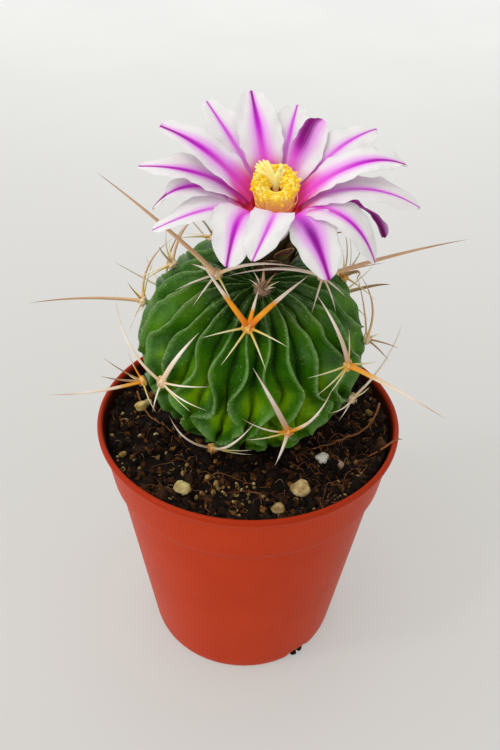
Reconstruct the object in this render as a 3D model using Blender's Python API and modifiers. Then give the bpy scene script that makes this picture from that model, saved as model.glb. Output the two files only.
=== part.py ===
"""A round, wavy-ribbed cactus in flower, growing in a small nursery pot.

The pot stands on z = 0 with its axis on +Z, and the side that faces a viewer is -Y. Every
sub-part is one closed solid. Angles round the plant and round the flower are in degrees from
the front, growing towards +X.
"""

import math

import bmesh
import bpy
import numpy as np
from mathutils import Vector

MM = 0.001
GAP = 0.3  # clearance between pieces that touch, in mm like every size below

# Pot: a standard 5.5 cm round nursery pot
POT_RIM_RADIUS = 27.5
POT_HEIGHT = 51.0
POT_WALL = 0.9
COLLAR_HEIGHT = 11.0
COLLAR_TOP_RADIUS = 26.7
COLLAR_FOOT_RADIUS = 25.2
BODY_TOP_RADIUS = 24.4
BODY_FOOT_RADIUS = 18.6
FOOT_RADIUS = 17.8
FLOOR_RISE = 2.2
PAD_RADIUS = 8.0
DRAIN_COUNT = 4
DRAIN_RADIUS = 2.0
DRAIN_RING = 13.0
NOTCH_RADIUS = 3.9
NOTCH_DROP = 2.0
NOTCH_ANGLES = (38.0, 158.0, 278.0)
POT_SEGMENTS = 48

# Soil
SOIL_LEVEL = 46.0
MOUND_RISE = 1.4
MOUND_REACH = 11.0
SOIL_SEGMENTS = 36

# Cactus body: a squat ball with wavy ribs, leaning towards the front
PLANT_CENTRE = (0.1, 2.5, 65.3)
PLANT_TILT = 14.0
PLANT_LEAN = 4.0
BALL_RADIUS = 19.7
BALL_HALF_HEIGHT = 18.2
CROWN_DIP = 3.2
CROWN_DIP_RADIUS = 6.0
NECK_FROM = 150.0  # polar angle where the ball narrows into its root neck
NECK_RADIUS = 5.0
RIBS = 24
RIB_START = -6.0
RIB_DEPTH = 2.2
RIB_SWING = 4.5
RIB_WAVES = 9.0
# Where each rib starts on its wave, in degrees, counted from the front
RIB_PHASES = (120, 320, 260, 70, 210, 350, 270, 100, 20, 160, 300, 60,
              230, 350, 110, 250, 30, 140, 190, 0, 100, 350, 200, 330)
SAMPLES_PER_RIB = 4
BODY_RINGS = 22

# Spine-bearing cushions (areoles)
CUSHION_RADIUS = 1.2
CUSHION_LIFT = 0.5
SPINE_BOW = 0.15
# Width and thickness of each kind of spine at its foot
SPINE_KINDS = {"dagger": (1.5, 0.6), "blade": (1.1, 0.55), "needle": (0.55, 0.5)}

# Flower
FLOWER_PLACE = (3.0, 0.0, 93.0)
FLOWER_TILT = 18.0
TUBE_LENGTH = 12.5
TUBE_SCALES = 6
SCALE_LEAN = 62.0
SCALE_WIDTH = 3.4
THROAT_RADIUS = 3.3
THROAT_DEPTH = 5.0
PETAL_THICKNESS = 0.4
PETAL_ROOT_RADIUS = 5.2
WHORL_STEP = 0.75
WHORL_LIFT = 0.8
PETAL_WIDEST = 0.68  # how far along a petal is widest
COLUMN_RADIUS = 2.9

# Each cushion: rib counted from the front, height on the ball in degrees, and its spines as
# (kind, turn from the crown in degrees, rise off the skin in degrees, length in mm, and, where
# the spine is curved, how strongly it bows).
CUSHIONS = {
    "areole_front_top": (0, 57, [
        ("dagger", -51, 28, 12.5), ("dagger", 43, 26, 12.5), ("blade", 6, 30, 6.5),
        ("needle", -119, 18, 8.0), ("needle", 111, 18, 7.5), ("needle", 149, 12, 8.0),
        ("needle", -158, 12, 8.0)]),
    "areole_crown_left": (-5, 69, [
        ("dagger", -152, 33, 24.5), ("blade", 13, 15, 14.0, 0.5), ("blade", -162, 16, 4.5),
        ("needle", 148, 8, 8.5), ("needle", 119, 8, 9.5), ("needle", 76, 6, 7.5)]),
    "areole_crown_right": (7, 59, [
        ("dagger", -174, 48, 24.0), ("blade", -16, -6, 18.0, 0.4), ("needle", 178, 40, 10.5),
        ("needle", -68, 2, 11.0), ("needle", -95, 4, 8.5), ("needle", -130, 8, 5.5)]),
    "areole_front_right": (4, 24, [
        ("dagger", -7, -3, 15.5, 0.3), ("dagger", 170, 58, 18.0), ("needle", 16, 6, 6.5),
        ("needle", -63, 0, 11.5), ("needle", -82, 2, 10.0), ("needle", -92, 6, 7.5),
        ("needle", 120, 15, 7.0)]),
    "areole_front_low": (2, 1, [
        ("dagger", -23, -2, 19.0), ("blade", 30, 3, 12.0, 0.6), ("needle", 47, 8, 6.5),
        ("needle", -52, 2, 11.0, 0.3), ("needle", -77, 8, 8.0), ("blade", -160, 16, 7.0)]),
    "areole_front_left": (-3, 11, [
        ("blade", -46, 10, 16.5, 0.5), ("dagger", 17, -2, 15.0), ("needle", 52, 0, 12.5),
        ("needle", 72, 2, 11.5, 0.3), ("needle", 86, 4, 8.0), ("needle", 165, 20, 5.5)]),
    "areole_left": (-6, 14, [
        ("dagger", 116, 66, 19.5), ("blade", -42, -4, 12.0, 0.6), ("needle", -28, 6, 8.5),
        ("needle", -20, 58, 4.5), ("needle", 100, 2, 7.0), ("needle", -120, 20, 7.0)]),
    "areole_left_low": (-4, -11, [
        ("dagger", -31, 76, 16.5), ("needle", -45, 6, 6.0), ("blade", -50, 62, 7.5),
        ("needle", 100, 0, 6.5), ("needle", -51, 38, 8.0), ("needle", -120, 20, 6.0)]),
    "areole_foot": (-1, -30, [
        ("blade", -76, -8, 10.0, 0.7), ("needle", 62, -4, 12.0, 0.3), ("needle", 90, 0, 8.0),
        ("needle", -110, 30, 3.0)]),
    "areole_right_low": (5, -9, [
        ("blade", 54, 2, 11.5, 0.5), ("needle", 10, 8, 4.0), ("needle", -100, 0, 5.0),
        ("needle", -126, -2, 7.0, 0.3), ("needle", 110, 15, 7.0)]),
    "areole_right": (6, 14, [
        ("blade", 40, -4, 11.5, 0.6), ("needle", 60, 6, 7.0), ("needle", -140, 42, 5.5),
        ("needle", -150, 70, 6.0), ("needle", 130, 15, 7.0)]),
}
# Cushions all round the back carry the plain star of spines that the front ones vary
PLAIN_STAR = [
    ("blade", -45, 12, 13.0, 0.6), ("needle", 40, 30, 12.0, 0.5), ("needle", -12, 52, 8.0, 0.4),
    ("needle", -115, 16, 7.5), ("needle", 110, 16, 7.5), ("needle", 155, 14, 6.5)]
BACK_CUSHIONS = [(8, 38), (9, 4), (10, 50), (11, 16), (12, -12), (13, 38), (14, 10), (15, 50),
                 (16, -6), (17, 40)]
CROWN_TUFT = (0, 76, [
    ("blade", -60, 60, 4.0), ("blade", 10, 70, 4.5), ("blade", 80, 55, 4.0),
    ("needle", 150, 35, 4.0), ("needle", -140, 35, 4.0)])

# Each petal: turn round the flower, rise of its tip above the flower's plane, length, width,
# its whorl, from 0 outermost to 2 innermost, how far its end droops in degrees, and how far its
# middle swings sideways
PETALS = [
    (4, 9, 9.5, 3.2, 0, 20, 0.0), (25, 1, 18.0, 6.6, 1, 32, 0.6), (52, -2, 19.0, 5.8, 1, 60, 0.7),
    (75, -5, 17.8, 5.0, 0, 68, 0.3), (81, 6, 22.2, 5.4, 1, 45, -0.8),
    (97, 14, 20.4, 6.2, 2, 55, -1.6), (127, 13, 20.4, 6.4, 1, 33, -1.0),
    (154, 21, 17.0, 5.6, 2, 12, 0.3), (169, 15, 18.3, 6.0, 1, 25, -0.4),
    (193, 17, 19.4, 6.6, 2, 19, 0.5), (216, 18, 20.1, 6.4, 1, 15, 0.9),
    (249, 21, 20.4, 6.4, 2, 33, 2.0), (263, 10, 21.5, 6.2, 1, 32, 1.4),
    (275, 0, 18.8, 5.0, 0, 60, 0.0), (291, 2, 19.6, 5.6, 0, 32, 1.1),
    (337, 7, 17.4, 7.0, 1, 31, -1.8), (349, 10, 16.5, 6.2, 2, 29, 1.4)]

# Each pebble: x, y, half width and squash
PEBBLES = {
    "perlite_right": (13.3, -6.9, 1.3, 0.8), "grit_right": (16.6, -7.8, 0.9, 0.8),
    "grit_front": (9.5, -14.8, 1.7, 0.8), "grit_rim": (5.4, -19.6, 1.2, 0.7),
    "grit_left": (-10.8, -16.2, 1.5, 0.8), "grit_back": (-20.6, 6.2, 1.2, 0.7)}


def polar(turn, radius, height):
    """The point at an angle from the front, in degrees, a distance from the axis, and a height."""
    angle = math.radians(turn)
    return Vector((radius * math.sin(angle), -radius * math.cos(angle), height))


def new_material(name, colour, roughness):
    """A plain Principled material, with its colour in linear RGB."""
    material = bpy.data.materials.new(name)
    material.use_nodes = True
    shader = material.node_tree.nodes["Principled BSDF"]
    shader.inputs["Base Color"].default_value = (*colour, 1.0)
    shader.inputs["Roughness"].default_value = roughness
    shader.inputs["Metallic"].default_value = 0.0
    return material


def new_collection(name, shown):
    """A collection of the scene; the cutters' one is left out of renders."""
    collection = bpy.data.collections.new(name)
    collection.hide_render = not shown
    bpy.context.scene.collection.children.link(collection)
    return collection


def new_object(name, mesh, collection, parent=None, material=None):
    """Links a mesh to a collection, under a parent, with one smooth-shaded material."""
    obj = bpy.data.objects.new(name, mesh)
    collection.objects.link(obj)
    obj.parent = parent
    if material:
        mesh.materials.append(material)
    mesh.shade_smooth()
    mesh.set_sharp_from_angle(angle=math.radians(40))
    if collection.hide_render:
        obj.hide_render = True
        obj.display_type = "WIRE"
    return obj


def new_cutter_set(name):
    """A collection of cutters of its own, so that one Boolean takes them all."""
    collection = bpy.data.collections.new(name)
    collection.hide_render = True
    cutters.children.link(collection)
    return collection


def boolean(obj, operation, collection):
    """Cuts an object by, or joins it with, everything in a collection."""
    modifier = obj.modifiers.new(operation.lower(), "BOOLEAN")
    modifier.operation = operation
    modifier.operand_type = "COLLECTION"
    modifier.collection = collection
    modifier.solver = "EXACT"
    return modifier


def turned_mesh(name, profile, segments):
    """A profile of (radius, height) points, in mm, turned once round +Z into a closed mesh."""
    outline = bpy.data.meshes.new(name + "_outline")
    points = [(radius * MM, 0.0, height * MM) for radius, height in profile]
    outline.from_pydata(points, [(i, i + 1) for i in range(len(points) - 1)], [])
    obj = bpy.data.objects.new(name + "_outline", outline)
    bpy.context.scene.collection.objects.link(obj)
    screw = obj.modifiers.new("turn", "SCREW")
    screw.steps = segments
    screw.render_steps = segments
    screw.use_merge_vertices = True
    screw.merge_threshold = 0.00001
    bpy.context.view_layer.update()
    evaluated = obj.evaluated_get(bpy.context.evaluated_depsgraph_get())
    mesh = bpy.data.meshes.new_from_object(evaluated)
    mesh.name = name
    bpy.data.objects.remove(obj)
    return mesh


def ball_mesh(name, segments, rings, place):
    """A UV sphere whose every point is moved by place(turn, polar angle), both in degrees."""
    shape = bmesh.new()
    bmesh.ops.create_uvsphere(shape, u_segments=segments, v_segments=rings, radius=1.0)
    for vertex in shape.verts:
        turn = math.degrees(math.atan2(vertex.co.x, -vertex.co.y))
        angle = math.degrees(math.acos(max(-1.0, min(1.0, vertex.co.z))))
        vertex.co = place(turn, angle) * MM
    mesh = bpy.data.meshes.new(name)
    shape.to_mesh(mesh)
    shape.free()
    return mesh


# Cactus body

def rib_shift(rib, height):
    """How far a rib's crest swings sideways, in degrees, at a height on the ball in degrees."""
    growth = min(1.0, max(0.0, (75.0 - height) / 60.0))
    phase = RIB_WAVES * height + RIB_PHASES[rib % RIBS]
    return RIB_SWING * growth * math.sin(math.radians(phase))


def crest_turn(rib, height):
    """The turn of a rib's crest at a height on the ball."""
    return RIB_START + rib * 360.0 / RIBS + rib_shift(rib, height)


def ball_point(turn, angle, sink, swell):
    """A point of the ball, sunk from or swollen past its surface, with the crown and the neck."""
    radius = BALL_RADIUS - sink + swell
    half_height = BALL_HALF_HEIGHT - sink + swell
    if angle <= NECK_FROM:
        out = radius * math.sin(math.radians(angle))
        up = half_height * math.cos(math.radians(angle))
    else:
        stations = (NECK_FROM, 158.0, 172.0, 180.0)
        edge = radius * math.sin(math.radians(NECK_FROM))
        neck = NECK_RADIUS + swell
        out = float(np.interp(angle, stations, (edge, neck, neck - 1.0, 0.0)))
        up = float(np.interp(angle, stations, (-15.8 - swell, -17.4, -24.0, -24.5 - swell)))
    if angle < 90.0:
        up -= CROWN_DIP * math.exp(-(out / CROWN_DIP_RADIUS) ** 2)
    return polar(turn, out, up)


def ribbed_point(turn, angle):
    """A point of the ribbed skin: the grid's lines follow the crests and the grooves."""
    height = 90.0 - angle
    step = 360.0 / RIBS
    place = turn / step
    rib = math.floor(place)
    part = place - rib
    left = rib_shift(rib, height)
    right = rib_shift(rib + 1, height)
    shift = left + (right - left) * part
    groove = 0.5 - 0.5 * math.cos(2.0 * math.pi * part)
    depth = RIB_DEPTH * math.sin(math.radians(min(angle, 90.0))) ** 0.7
    if angle > 90.0:
        depth *= max(0.0, (NECK_FROM - angle) / (NECK_FROM - 90.0)) ** 0.5
    return ball_point(turn + RIB_START + shift, angle, depth * groove, 0.0)


def build_body(parent):
    """The ribbed ball, with a socket cut for each cushion and for the flower's tube."""
    mesh = ball_mesh("cactus_body", RIBS * SAMPLES_PER_RIB, BODY_RINGS, ribbed_point)
    body = new_object("cactus_body", mesh, parts, parent, skin)
    boolean(body, "DIFFERENCE", sockets)
    return body


# Cushions and spines

def cushion_frame(rib, height):
    """A frame on a rib's crest: its place, and its side, crown-ward and outward directions."""
    turn = crest_turn(rib, height)
    place = ball_point(turn, 90.0 - height, 0.0, 0.0)
    step = 0.5
    along = ball_point(turn, 90.0 - height - step, 0.0, 0.0) - place
    across = ball_point(turn + step, 90.0 - height, 0.0, 0.0) - place
    outward = across.cross(along).normalized()
    side = along.cross(outward).normalized()
    crownward = outward.cross(side).normalized()
    return place + outward * CUSHION_LIFT, side, crownward, outward


def spine_mesh(name, frame, kind, turn, rise, length, bow=SPINE_BOW):
    """A small sphere drawn out from the cushion's centre into a flat or round tapering spine."""
    place, side, crownward, outward = frame
    width, thickness = SPINE_KINDS[kind]
    level = side * math.sin(math.radians(turn)) + crownward * math.cos(math.radians(turn))
    direction = level * math.cos(math.radians(rise)) + outward * math.sin(math.radians(rise))
    across = direction.cross(outward).normalized()
    over = across.cross(direction).normalized()

    def place_on_spine(spin, angle):
        along = 0.5 - 0.5 * math.cos(math.radians(angle))
        taper = 1.0 - along ** 1.6 if 0.0 < along < 1.0 else 0.0
        arch = bow * length * along * (1.0 - along)
        middle = place + direction * (length * along) + over * arch
        reach = across * (width * math.sin(math.radians(spin)))
        depth = over * (thickness * math.cos(math.radians(spin)))
        return middle + (reach + depth) * (0.5 * taper)

    return ball_mesh(name, 4, 4, place_on_spine)


def build_cushion(name, rib, height, spines, parent):
    """A woolly cushion and its spines joined in one solid, and the socket that it sits in."""
    frame = cushion_frame(rib, height)
    joined = new_cutter_set(name + "_spines")
    for number, spine in enumerate(spines):
        mesh = spine_mesh(f"{name}_spine_{number}", frame, *spine)
        new_object(mesh.name, mesh, joined, parent)

    def pad(turn, angle, radius=CUSHION_RADIUS):
        return frame[0] + polar(turn, radius * math.sin(math.radians(angle)),
                                radius * math.cos(math.radians(angle)))

    cushion = new_object(name, ball_mesh(name, 6, 5, pad), parts, parent, horn)
    boolean(cushion, "UNION", joined)
    socket = ball_mesh(name + "_socket", 8, 6,
                       lambda turn, angle: pad(turn, angle, CUSHION_RADIUS + GAP))
    new_object(socket.name, socket, sockets, parent)


# Flower

def tube_profile(clearance):
    """The outline of the flower's tube, top to bottom, grown by a clearance."""
    return [(5.7 + clearance, 0.0), (5.5 + clearance, -1.2), (4.8 + clearance, -4.0),
            (4.3 + clearance, -9.0), (3.6 + clearance, -TUBE_LENGTH),
            (0.0, -TUBE_LENGTH - clearance - 0.6)]


def scale_mesh(name, turn, root, length):
    """A pointed scale drawn out of a small sphere, standing off the tube's side."""
    lean = math.radians(SCALE_LEAN)

    def place_on_scale(spin, angle):
        along = 0.5 - 0.5 * math.cos(math.radians(angle))
        taper = math.sin(math.pi * min(1.0, along + 0.08)) ** 0.8 if along < 0.92 else 0.0
        out = 4.3 + length * along * math.cos(lean)
        up = root + length * along * math.sin(lean)
        sideways = 0.5 * SCALE_WIDTH * taper * math.sin(math.radians(spin))
        thick = 0.35 * math.cos(math.radians(spin)) * (taper > 0.0)
        middle = polar(turn, out + thick, up)
        across = polar(turn + 90.0, 1.0, 0.0)
        return middle + across * sideways

    return ball_mesh(name, 6, 5, place_on_scale)


def build_tube(parent):
    """The short tube under the petals, cupped at its throat, with pointed scales outside."""
    profile = tube_profile(0.0)
    cup = [(0.0, -THROAT_DEPTH), (THROAT_RADIUS, -THROAT_DEPTH), (THROAT_RADIUS, 0.0)]
    tube = new_object("flower_tube", turned_mesh("flower_tube", cup + profile, 20), parts,
                      parent, tube_skin)
    scales = new_cutter_set("tube_scales")
    for number in range(TUBE_SCALES):
        root, length = (-9.5, 6.5) if number % 2 else (-7.5, 6.0)
        turn = 30.0 + 360.0 / TUBE_SCALES * number
        mesh = scale_mesh(f"tube_scale_{number}", turn, root, length)
        new_object(mesh.name, mesh, scales, parent)
    boolean(tube, "UNION", scales)
    socket = turned_mesh("tube_socket", [(0.0, 0.0)] + tube_profile(GAP), 20)
    new_object("tube_socket", socket, sockets, parent)


def petal_path(rise, length, whorl, droop, along):
    """Distance from the flower's axis and height of a petal's midrib: one cubic Bezier curve."""
    root = (PETAL_ROOT_RADIUS - WHORL_STEP * whorl, GAP)
    lift = WHORL_LIFT * whorl
    tip = (length * math.cos(math.radians(rise)), length * math.sin(math.radians(rise)) + lift)
    droop = math.radians(rise - droop)
    first = (root[0] + 0.8, 3.2 + lift)
    second = (tip[0] - 0.5 * length * math.cos(droop), tip[1] - 0.5 * length * math.sin(droop))
    weights = ((1 - along) ** 3, 3 * along * (1 - along) ** 2, 3 * along ** 2 * (1 - along),
               along ** 3)
    points = (root, first, second, tip)
    return tuple(sum(w * p[axis] for w, p in zip(weights, points)) for axis in (0, 1))


def petal_half_width(width, along):
    """Half the width of a petal: narrow at its root, widest past the middle, and pointed."""
    if along < PETAL_WIDEST:
        share = 0.2 + 0.8 * math.sin(0.5 * math.pi * along / PETAL_WIDEST) ** 3
    else:
        past = (along - PETAL_WIDEST) / (1.0 - PETAL_WIDEST)
        share = math.sqrt(max(0.0, 1.0 - past ** 2)) * 0.9 + 0.1
    return 0.5 * width * share


def build_petal(name, turn, rise, length, width, whorl, droop, sway, parent):
    """A flat grid bent along the petal's path, then given its thickness."""
    shape = bmesh.new()
    bmesh.ops.create_grid(shape, x_segments=8, y_segments=2, size=1.0)
    side = polar(turn + 90.0, 1.0, 0.0)
    for vertex in shape.verts:
        along = 0.5 + 0.5 * vertex.co.x
        across = vertex.co.y
        out, up = petal_path(rise, length, whorl, droop, along)
        reach = petal_half_width(width, along) * across + sway * 4.0 * along * (1.0 - along)
        place = polar(turn, out, up) + side * reach
        vertex.co = place * MM
    mesh = bpy.data.meshes.new(name)
    shape.to_mesh(mesh)
    shape.free()
    petal = new_object(name, mesh, parts, parent, petal_skin)
    solid = petal.modifiers.new("thickness", "SOLIDIFY")
    solid.thickness = PETAL_THICKNESS * MM
    solid.offset = 0.0


def build_stamens(parent):
    """The close column of stamens: a ring of filaments, wider where the anthers crowd."""
    foot = -THROAT_DEPTH + GAP
    profile = [(1.0, foot), (1.0, 3.8), (1.7, 5.0), (2.6, 5.6), (3.4, 5.3), (3.7, 4.6),
               (3.4, 3.8), (COLUMN_RADIUS, 3.2), (COLUMN_RADIUS, foot), (1.0, foot)]
    new_object("stamens", turned_mesh("stamens", profile, 18), parts, parent, pollen)


def build_pistil(parent):
    """The style through the stamens, with the stigma's lobes gathered over them."""
    foot = -THROAT_DEPTH + GAP
    profile = [(0.0, 7.6), (1.4, 7.8), (2.2, 7.3), (1.4, 6.2), (0.6, 5.4), (0.6, foot),
               (0.0, foot)]
    new_object("pistil", turned_mesh("pistil", profile, 12), parts, parent, stigma_skin)


# Pot, soil and what lies on it

def build_pot():
    """The turned pot: rolled lip, deep collar, plain taper, foot ring and a flat centre pad."""
    lip = POT_HEIGHT - 0.8
    step = POT_HEIGHT - COLLAR_HEIGHT
    inside = [(0.0, 1.0), (PAD_RADIUS - 0.4, 1.0), (PAD_RADIUS + 1.2, FLOOR_RISE + 1.0),
              (BODY_FOOT_RADIUS - POT_WALL, FLOOR_RISE + 1.0),
              (BODY_TOP_RADIUS - POT_WALL, step - 0.4),
              (COLLAR_FOOT_RADIUS - POT_WALL, step + 0.6),
              (COLLAR_TOP_RADIUS - POT_WALL, lip - 0.4)]
    rolled = [(POT_RIM_RADIUS - 1.4, lip + 0.4), (POT_RIM_RADIUS - 1.0, POT_HEIGHT),
              (POT_RIM_RADIUS - 0.4, POT_HEIGHT), (POT_RIM_RADIUS, lip + 0.2),
              (POT_RIM_RADIUS - 0.1, lip - 0.5), (COLLAR_TOP_RADIUS, lip - 1.0)]
    outside = [(COLLAR_FOOT_RADIUS, step + 0.4), (BODY_TOP_RADIUS, step - 0.4),
               (BODY_FOOT_RADIUS, 2.0), (BODY_FOOT_RADIUS - 0.3, 0.7), (FOOT_RADIUS, 0.0),
               (FOOT_RADIUS - 1.0, 0.0), (FOOT_RADIUS - 1.4, FLOOR_RISE),
               (PAD_RADIUS + 1.4, FLOOR_RISE), (PAD_RADIUS, 0.0), (0.0, 0.0)]
    pot = new_object("pot", turned_mesh("pot", inside + rolled + outside, POT_SEGMENTS), parts,
                     None, pot_plastic)
    drains = new_cutter_set("pot_drains")
    for number in range(DRAIN_COUNT):
        hole = bmesh.new()
        bmesh.ops.create_cone(hole, cap_ends=True, segments=16, radius1=DRAIN_RADIUS * MM,
                              radius2=DRAIN_RADIUS * MM, depth=6 * MM)
        mesh = bpy.data.meshes.new(f"drain_{number}")
        hole.to_mesh(mesh)
        hole.free()
        drain = new_object(mesh.name, mesh, drains)
        drain.location = polar(360.0 / DRAIN_COUNT * number, DRAIN_RING, FLOOR_RISE + 0.5) * MM
    for number, angle in enumerate(NOTCH_ANGLES):
        arch = bmesh.new()
        bmesh.ops.create_cone(arch, cap_ends=True, segments=24, radius1=NOTCH_RADIUS * MM,
                              radius2=NOTCH_RADIUS * MM, depth=5 * MM)
        mesh = bpy.data.meshes.new(f"notch_{number}")
        arch.to_mesh(mesh)
        arch.free()
        notch = new_object(mesh.name, mesh, drains)
        notch.location = polar(angle, FOOT_RADIUS, -NOTCH_DROP) * MM
        notch.rotation_euler = (math.radians(90.0), 0.0, math.radians(angle))
    boolean(pot, "DIFFERENCE", drains)


def soil_height(x, y):
    """The soil's surface: level, mounded to the plant's foot, and gently uneven."""
    away = math.hypot(x + 1.2, y - 6.0)
    mound = MOUND_RISE * math.exp(-(away / MOUND_REACH) ** 2)
    uneven = 0.35 * math.sin(0.42 * x + 1.0) * math.cos(0.37 * y)
    return SOIL_LEVEL + mound + uneven


def build_soil(plant):
    """The soil fills the pot to below the rim, with a hole for the plant's root neck."""
    step = POT_HEIGHT - COLLAR_HEIGHT
    wall = POT_WALL + GAP + 0.05
    top_edge = COLLAR_TOP_RADIUS - wall - 0.6
    floor = FLOOR_RISE + 1.0 + GAP
    rings = (4.0, 8.0, 12.0, 16.0, 20.0, 23.0)
    profile = [(0.0, SOIL_LEVEL)] + [(radius, SOIL_LEVEL) for radius in rings]
    profile += [(top_edge, SOIL_LEVEL - 0.6), (COLLAR_FOOT_RADIUS - wall, step + 0.5),
                (BODY_TOP_RADIUS - wall, step - 0.5), (BODY_FOOT_RADIUS - wall, floor),
                (PAD_RADIUS + 1.2, floor), (PAD_RADIUS - 0.6, 1.0 + GAP), (0.0, 1.0 + GAP)]
    mesh = turned_mesh("soil", profile, SOIL_SEGMENTS)
    for vertex in mesh.vertices:
        if vertex.co.z > (SOIL_LEVEL - 0.1) * MM:
            vertex.co.z = soil_height(vertex.co.x / MM, vertex.co.y / MM) * MM
    soil_part = new_object("soil", mesh, parts, None, soil_mix)
    holes = new_cutter_set("soil_holes")
    hole = ball_mesh("neck_hole", 32, BODY_RINGS,
                     lambda turn, angle: ball_point(turn, angle, 0.0, GAP))
    new_object("neck_hole", hole, holes, plant)
    boolean(soil_part, "DIFFERENCE", holes)


def build_pebble(name, x, y, size, squash):
    """A rounded pebble lying just on the soil."""
    def place(turn, angle):
        lump = 1.0 + 0.12 * math.sin(math.radians(3.0 * turn + 40.0 * x)) * math.sin(
            math.radians(angle))
        out = size * lump * math.sin(math.radians(angle))
        up = size * squash * math.cos(math.radians(angle))
        return polar(turn, out, up)

    pebble = new_object(name, ball_mesh(name, 8, 6, place), parts, None, grit)
    lowest = max(soil_height(x + dx, y + dy) for dx in (-size, 0, size) for dy in (-size, 0, size))
    pebble.location = Vector((x, y, lowest + size * squash + GAP)) * MM


for old in list(bpy.data.objects):
    bpy.data.objects.remove(old)

parts = new_collection("potted_round_cactus", True)
cutters = new_collection("cutters", False)
sockets = new_cutter_set("body_sockets")

pot_plastic = new_material("terracotta_plastic", (0.42, 0.045, 0.018), 0.38)
soil_mix = new_material("soil_mix", (0.025, 0.014, 0.009), 0.95)
skin = new_material("cactus_skin", (0.045, 0.16, 0.025), 0.4)
horn = new_material("spine_horn", (0.70, 0.50, 0.30), 0.5)
petal_skin = new_material("petal", (0.88, 0.74, 0.85), 0.5)
tube_skin = new_material("tube_scales", (0.08, 0.02, 0.02), 0.6)
pollen = new_material("stamens", (0.90, 0.58, 0.05), 0.7)
stigma_skin = new_material("stigma", (0.90, 0.80, 0.30), 0.6)
grit = new_material("grit", (0.65, 0.55, 0.40), 0.85)

plant_axis = bpy.data.objects.new("plant_axis", None)
parts.objects.link(plant_axis)
plant_axis.location = Vector(PLANT_CENTRE) * MM
plant_axis.rotation_euler = (math.radians(PLANT_TILT), math.radians(PLANT_LEAN), 0.0)
flower_axis = bpy.data.objects.new("flower_axis", None)
parts.objects.link(flower_axis)
flower_axis.location = Vector(FLOWER_PLACE) * MM
flower_axis.rotation_euler = (math.radians(FLOWER_TILT), 0.0, 0.0)

build_pot()
build_soil(plant_axis)
build_body(plant_axis)
for cushion_name, (rib, height, spines) in CUSHIONS.items():
    build_cushion(cushion_name, rib, height, spines, plant_axis)
for number, (rib, height) in enumerate(BACK_CUSHIONS, start=1):
    build_cushion(f"areole_back_{number}", rib, height, PLAIN_STAR, plant_axis)
build_cushion("crown_tuft", *CROWN_TUFT, plant_axis)
build_tube(flower_axis)
for number, petal in enumerate(PETALS, start=1):
    build_petal(f"petal_{number:02d}", *petal, flower_axis)
build_stamens(flower_axis)
build_pistil(flower_axis)
for pebble_name, pebble in PEBBLES.items():
    build_pebble(pebble_name, *pebble)
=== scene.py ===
# %% [markdown]
# # A round cactus in flower, in its nursery pot
#
# This file dresses a imported solid model. The solid model says where every piece sits; here
# each piece is made again with the shape and finish that the eye expects, and rides on the
# solid model's one body. Most cells make one thing and print what they made.
#
# Sizes are in millimetres, and `MM` turns them into Blender's metres at the very end.

import bpy
import numpy as np
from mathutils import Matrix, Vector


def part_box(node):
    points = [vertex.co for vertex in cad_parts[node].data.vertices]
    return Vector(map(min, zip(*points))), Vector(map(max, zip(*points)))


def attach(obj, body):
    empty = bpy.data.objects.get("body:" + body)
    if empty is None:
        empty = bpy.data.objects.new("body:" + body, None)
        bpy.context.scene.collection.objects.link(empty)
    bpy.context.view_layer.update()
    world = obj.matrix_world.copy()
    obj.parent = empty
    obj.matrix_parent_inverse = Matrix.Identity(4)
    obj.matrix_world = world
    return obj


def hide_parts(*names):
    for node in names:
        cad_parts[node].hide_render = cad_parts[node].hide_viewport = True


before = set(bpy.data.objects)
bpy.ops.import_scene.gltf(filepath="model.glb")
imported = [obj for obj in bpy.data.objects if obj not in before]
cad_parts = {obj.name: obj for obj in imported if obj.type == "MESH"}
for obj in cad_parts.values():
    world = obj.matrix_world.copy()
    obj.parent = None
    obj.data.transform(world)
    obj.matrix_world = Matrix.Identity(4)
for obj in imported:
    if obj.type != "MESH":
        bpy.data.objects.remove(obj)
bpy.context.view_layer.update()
MM = 0.001

# %% [markdown]
# ## Points, directions and gentle randomness
#
# Almost everything here is round, so `polar` turns an angle, a radius and a height into a
# point. Angles are in degrees, counted from the front (-Y) towards +X. Living things are
# never quite regular, so `waves` adds many sine waves, each along its own direction, to a
# smooth random field. With a fixed seed it is the same every time.

# %% Polar points, unit vectors, smooth steps and the wave field
WAVE_COUNT = 14
new_dice = np.random.default_rng


def sin(degrees):
    """The sine of an angle in degrees."""
    return np.sin(np.radians(degrees))


def cos(degrees):
    """The cosine of an angle in degrees."""
    return np.cos(np.radians(degrees))


def circle(count):
    """Evenly spaced angles all the way round, in degrees."""
    return np.linspace(0, 360, count, endpoint=False)


def joined(*parts):
    """Arrays spread over one grid and joined along a new last axis, as x, y, z into points."""
    return np.stack(np.broadcast_arrays(*parts), axis=-1)


def polar(turn, radius, height):
    """Points (radius sin turn, -radius cos turn, height)."""
    return joined(radius * sin(turn), -(radius * cos(turn)), height)


def radius_of(points):
    """Each point's distance from the axis."""
    return np.hypot(points[..., 0], points[..., 1])


def turn_of(x, y):
    """The angle of a point round the axis, as `polar` counts it."""
    return np.degrees(np.arctan2(x, -y))


def unit(vectors):
    """Each vector divided by its length."""
    return vectors / np.maximum(np.linalg.norm(vectors, axis=-1, keepdims=True), 1e-12)


def ease(low, high, value):
    """0 below low, 1 above high, and between them the smooth curve 3t^2 - 2t^3."""
    share = np.clip((value - low) / (high - low), 0, 1)
    return share * share * (3 - 2 * share)


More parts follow.
